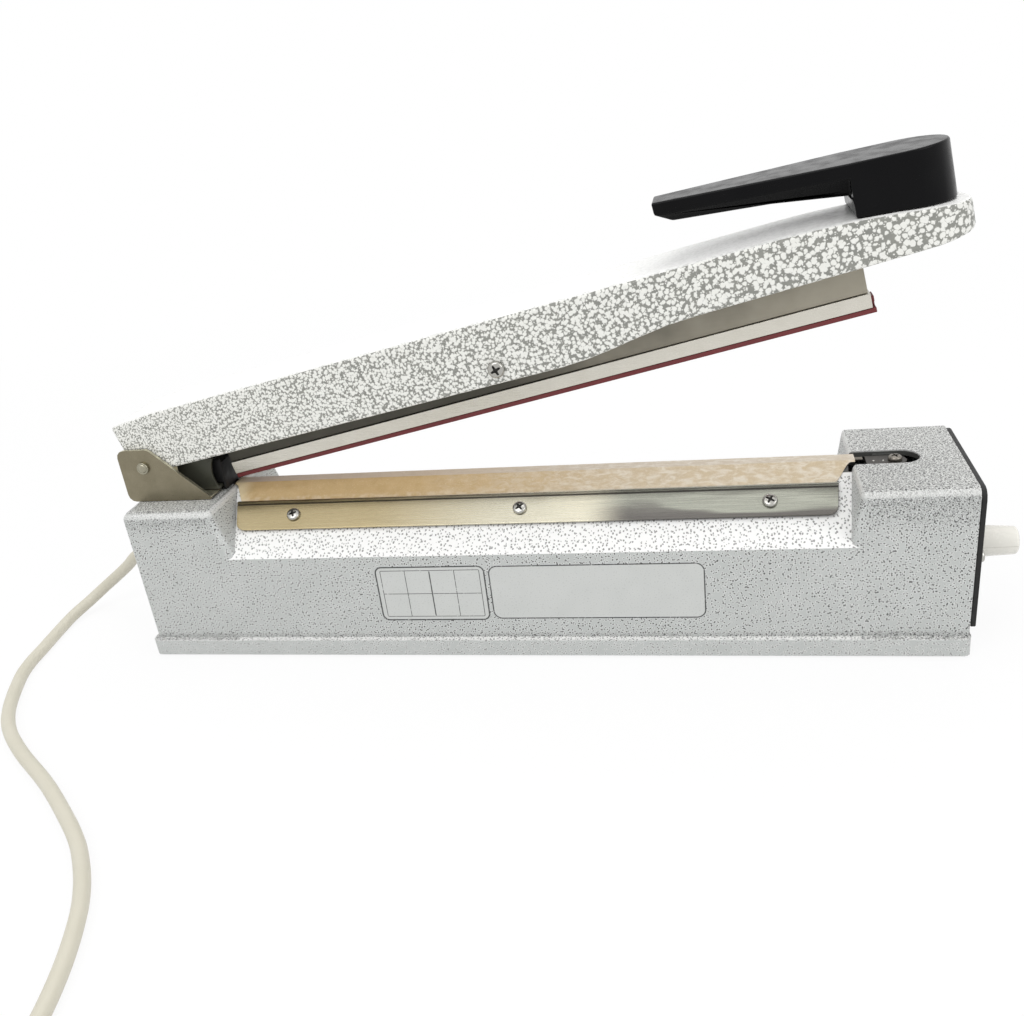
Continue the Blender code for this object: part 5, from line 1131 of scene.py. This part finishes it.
def make_stage():
    """The white floor, the white world and the lamps."""
    floor = bpy.data.objects.new("floor", bpy.data.meshes.new("floor"))
    bm = bmesh.new()
    bmesh.ops.create_grid(bm, x_segments=1, y_segments=1, size=floor_half)
    bm.to_mesh(floor.data)
    bm.free()
    bpy.context.scene.collection.objects.link(floor)
    floor.data.materials.append(floor_material())

    world = bpy.data.worlds.new("studio")
    bpy.context.scene.world = world
    tree = Tree(world)
    back = tree.tree.nodes["Background"]
    tree.feed(back.inputs["Color"], (1, 1, 1))
    level = tree.linear(seen_rays(tree), 1.0 - world_level, world_level)
    tree.feed(back.inputs["Strength"], level)

    for name, place, width, power in lamps:
        data = bpy.data.lights.new(name, "AREA")
        data.shape = "DISK"
        data.size = width
        data.energy = power
        lamp = bpy.data.objects.new(name, data)
        lamp.location = place
        lamp.rotation_euler = (lamp_aim - Vector(place)).to_track_quat("-Z", "Y").to_euler()
        bpy.context.scene.collection.objects.link(lamp)


# Build

FINISHES = make_finishes()
make_camera()
cord, cord_exit, cord_length = make_cord()
strain_relief = refine("relief_sleeve", "strain_relief", 0.3 * mm)
mains_plug = refine("mains_plug", "plug", 0.8 * mm)

# Names, nodes and the widths of their softened edges in millimetres
for name, node, width in (
    ("body_shell", "body_casting", 0.0),
    ("base_sheet", "bottom_plate", 0.0),
    ("end_cover", "end_plate", 0.5),
    ("hinge_cheeks", "hinge_bracket", 0.35),
    ("spring_channel", "spring_guide", 0.3),
    ("switch_hood", "switch_cover", 0.0),
    ("switch_body", "micro_switch", 0.4),
    ("switch_button", "switch_plunger", 0.25),
    ("ribbon_element", "heating_ribbon", 0.0),
    ("bed_tape_strip", "bed_strip", 0.0),
    ("clamp_strip_front", "front_clamp_strip", 0.25),
    ("clamp_strip_rear", "rear_clamp_strip", 0.25),
    ("terminal_left", "left_terminal_block", 0.3),
    ("lever_right", "tension_lever", 0.2),
    ("lever_axle", "lever_pin", 0.2),
    ("core", "transformer_core", 0.3),
    ("winding", "transformer_coil", 0.8),
    ("board", "timer_board", 0.2),
    ("fuse", "fuse_holder", 0.3),
    ("dial_control", "timer_potentiometer", 0.3),
    ("control_spindle", "potentiometer_shaft", 0.2),
    ("control_nut", "potentiometer_nut", 0.2),
    ("arm_shell", "arm_casting", 0.0),
    ("handle_grip", "handle", 0.9),
    ("channel", "bar_channel", 0.2),
    ("press_bar", "pressure_bar", 0.25),
    ("silicone_pad", "silicone_strip", 0.3),
    ("bolt_nut", "bar_pivot_nut", 0.3),
    *((f"foot_pad_{k}", f"foot_{k}", 0.5) for k in range(1, 5)),
):
    refine(name, node, width * mm)

roof_angle = math.atan2(roof_rise, roof_run)
for k in range(1, 4):
    for side, word, spin in ((-1, "front", 0.35 * k), (1, "rear", 0.8 + 0.5 * k)):
        pan_head(f"{word}_clamp_screw_{k}", f"{word}_strip_screw_{k}",
                 (0, side * math.sin(roof_angle), math.cos(roof_angle)), 1.9 * mm, 1.6 * mm, spin)
for k in (1, 2):
    pan_head(f"hinge_screw_{k}", f"bracket_screw_{k}", (0, 0, 1), 2.2 * mm, 2.0 * mm, 0.7 * k)
    pan_head(f"cover_screw_{k}", f"end_plate_screw_{k}", (1, 0, 0), 1.8 * mm, 1.5 * mm, 0.5 * k)
    pan_head(f"grip_screw_{k}", f"handle_screw_{k}", (math.sin(arm_open), 0, -math.cos(arm_open)),
             2.2 * mm, 2.0 * mm, 0.4 * k)
for k in range(1, 5):
    pan_head(f"pad_screw_{k}", f"foot_screw_{k}", (0, 0, -1), 2.0 * mm, 1.9 * mm, 0.6 * k)
pan_head("bar_bolt", "bar_pivot_bolt", (0, -1, 0), 2.4 * mm, 2.0 * mm, 0.5)
pan_head("lever_screw", "ribbon_screw", (0, 0, 1), 2.0 * mm, 1.5 * mm, 0.4, finish="screw_dark")

revolved("dial_knob", "timer_knob", [
    (0, 441.2), (5.3, 441.2), *quarter(5.3, 439.7, 1.5, math.pi / 2, 0, 8)[1:],
    (6.82, 439.4), (7.98, 419.5), (7.9, 419.1), (7.7, 418.9), (3.3, 418.9), (3.3, 432.9),
    (0, 432.9)], finish=FINISHES["knob"], steps=head_sides)
revolved("signal_lamp", "pilot_lamp", [
    (0, 419.6), (0.9, 419.56), (1.8, 419.42), (2.6, 419.18), (3.2, 418.86), (3.7, 418.4),
    (4.0, 417.9), (4.1, 417.5), (4.9, 417.5), (5.2, 417.3), (5.2, 416.6), (3.6, 416.6),
    (3.6, 402.6), (0, 402.6)])
rivet = [(0, 25.9), (0.9, 25.86), (1.6, 25.74), (2.1, 25.52), (2.3, 25.3), (2.5, 25.3),
         (2.75, 25.42), (3.0, 25.34), (3.2, 25.1)]
revolved("hinge_rivet", "hinge_pin", [*rivet, *((r, -h) for r, h in reversed(rivet))], (0, -1, 0),
         FINISHES["pin_steel"])
lever_rivets()
arm_spring = fuller("arm_spring", "return_spring")
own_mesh(arm_spring)
ribbon_spring = fuller("ribbon_spring", "tension_spring")
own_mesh(ribbon_spring)
make_cloth()

make_stage()

bpy.context.scene.view_settings.view_transform = "Standard"
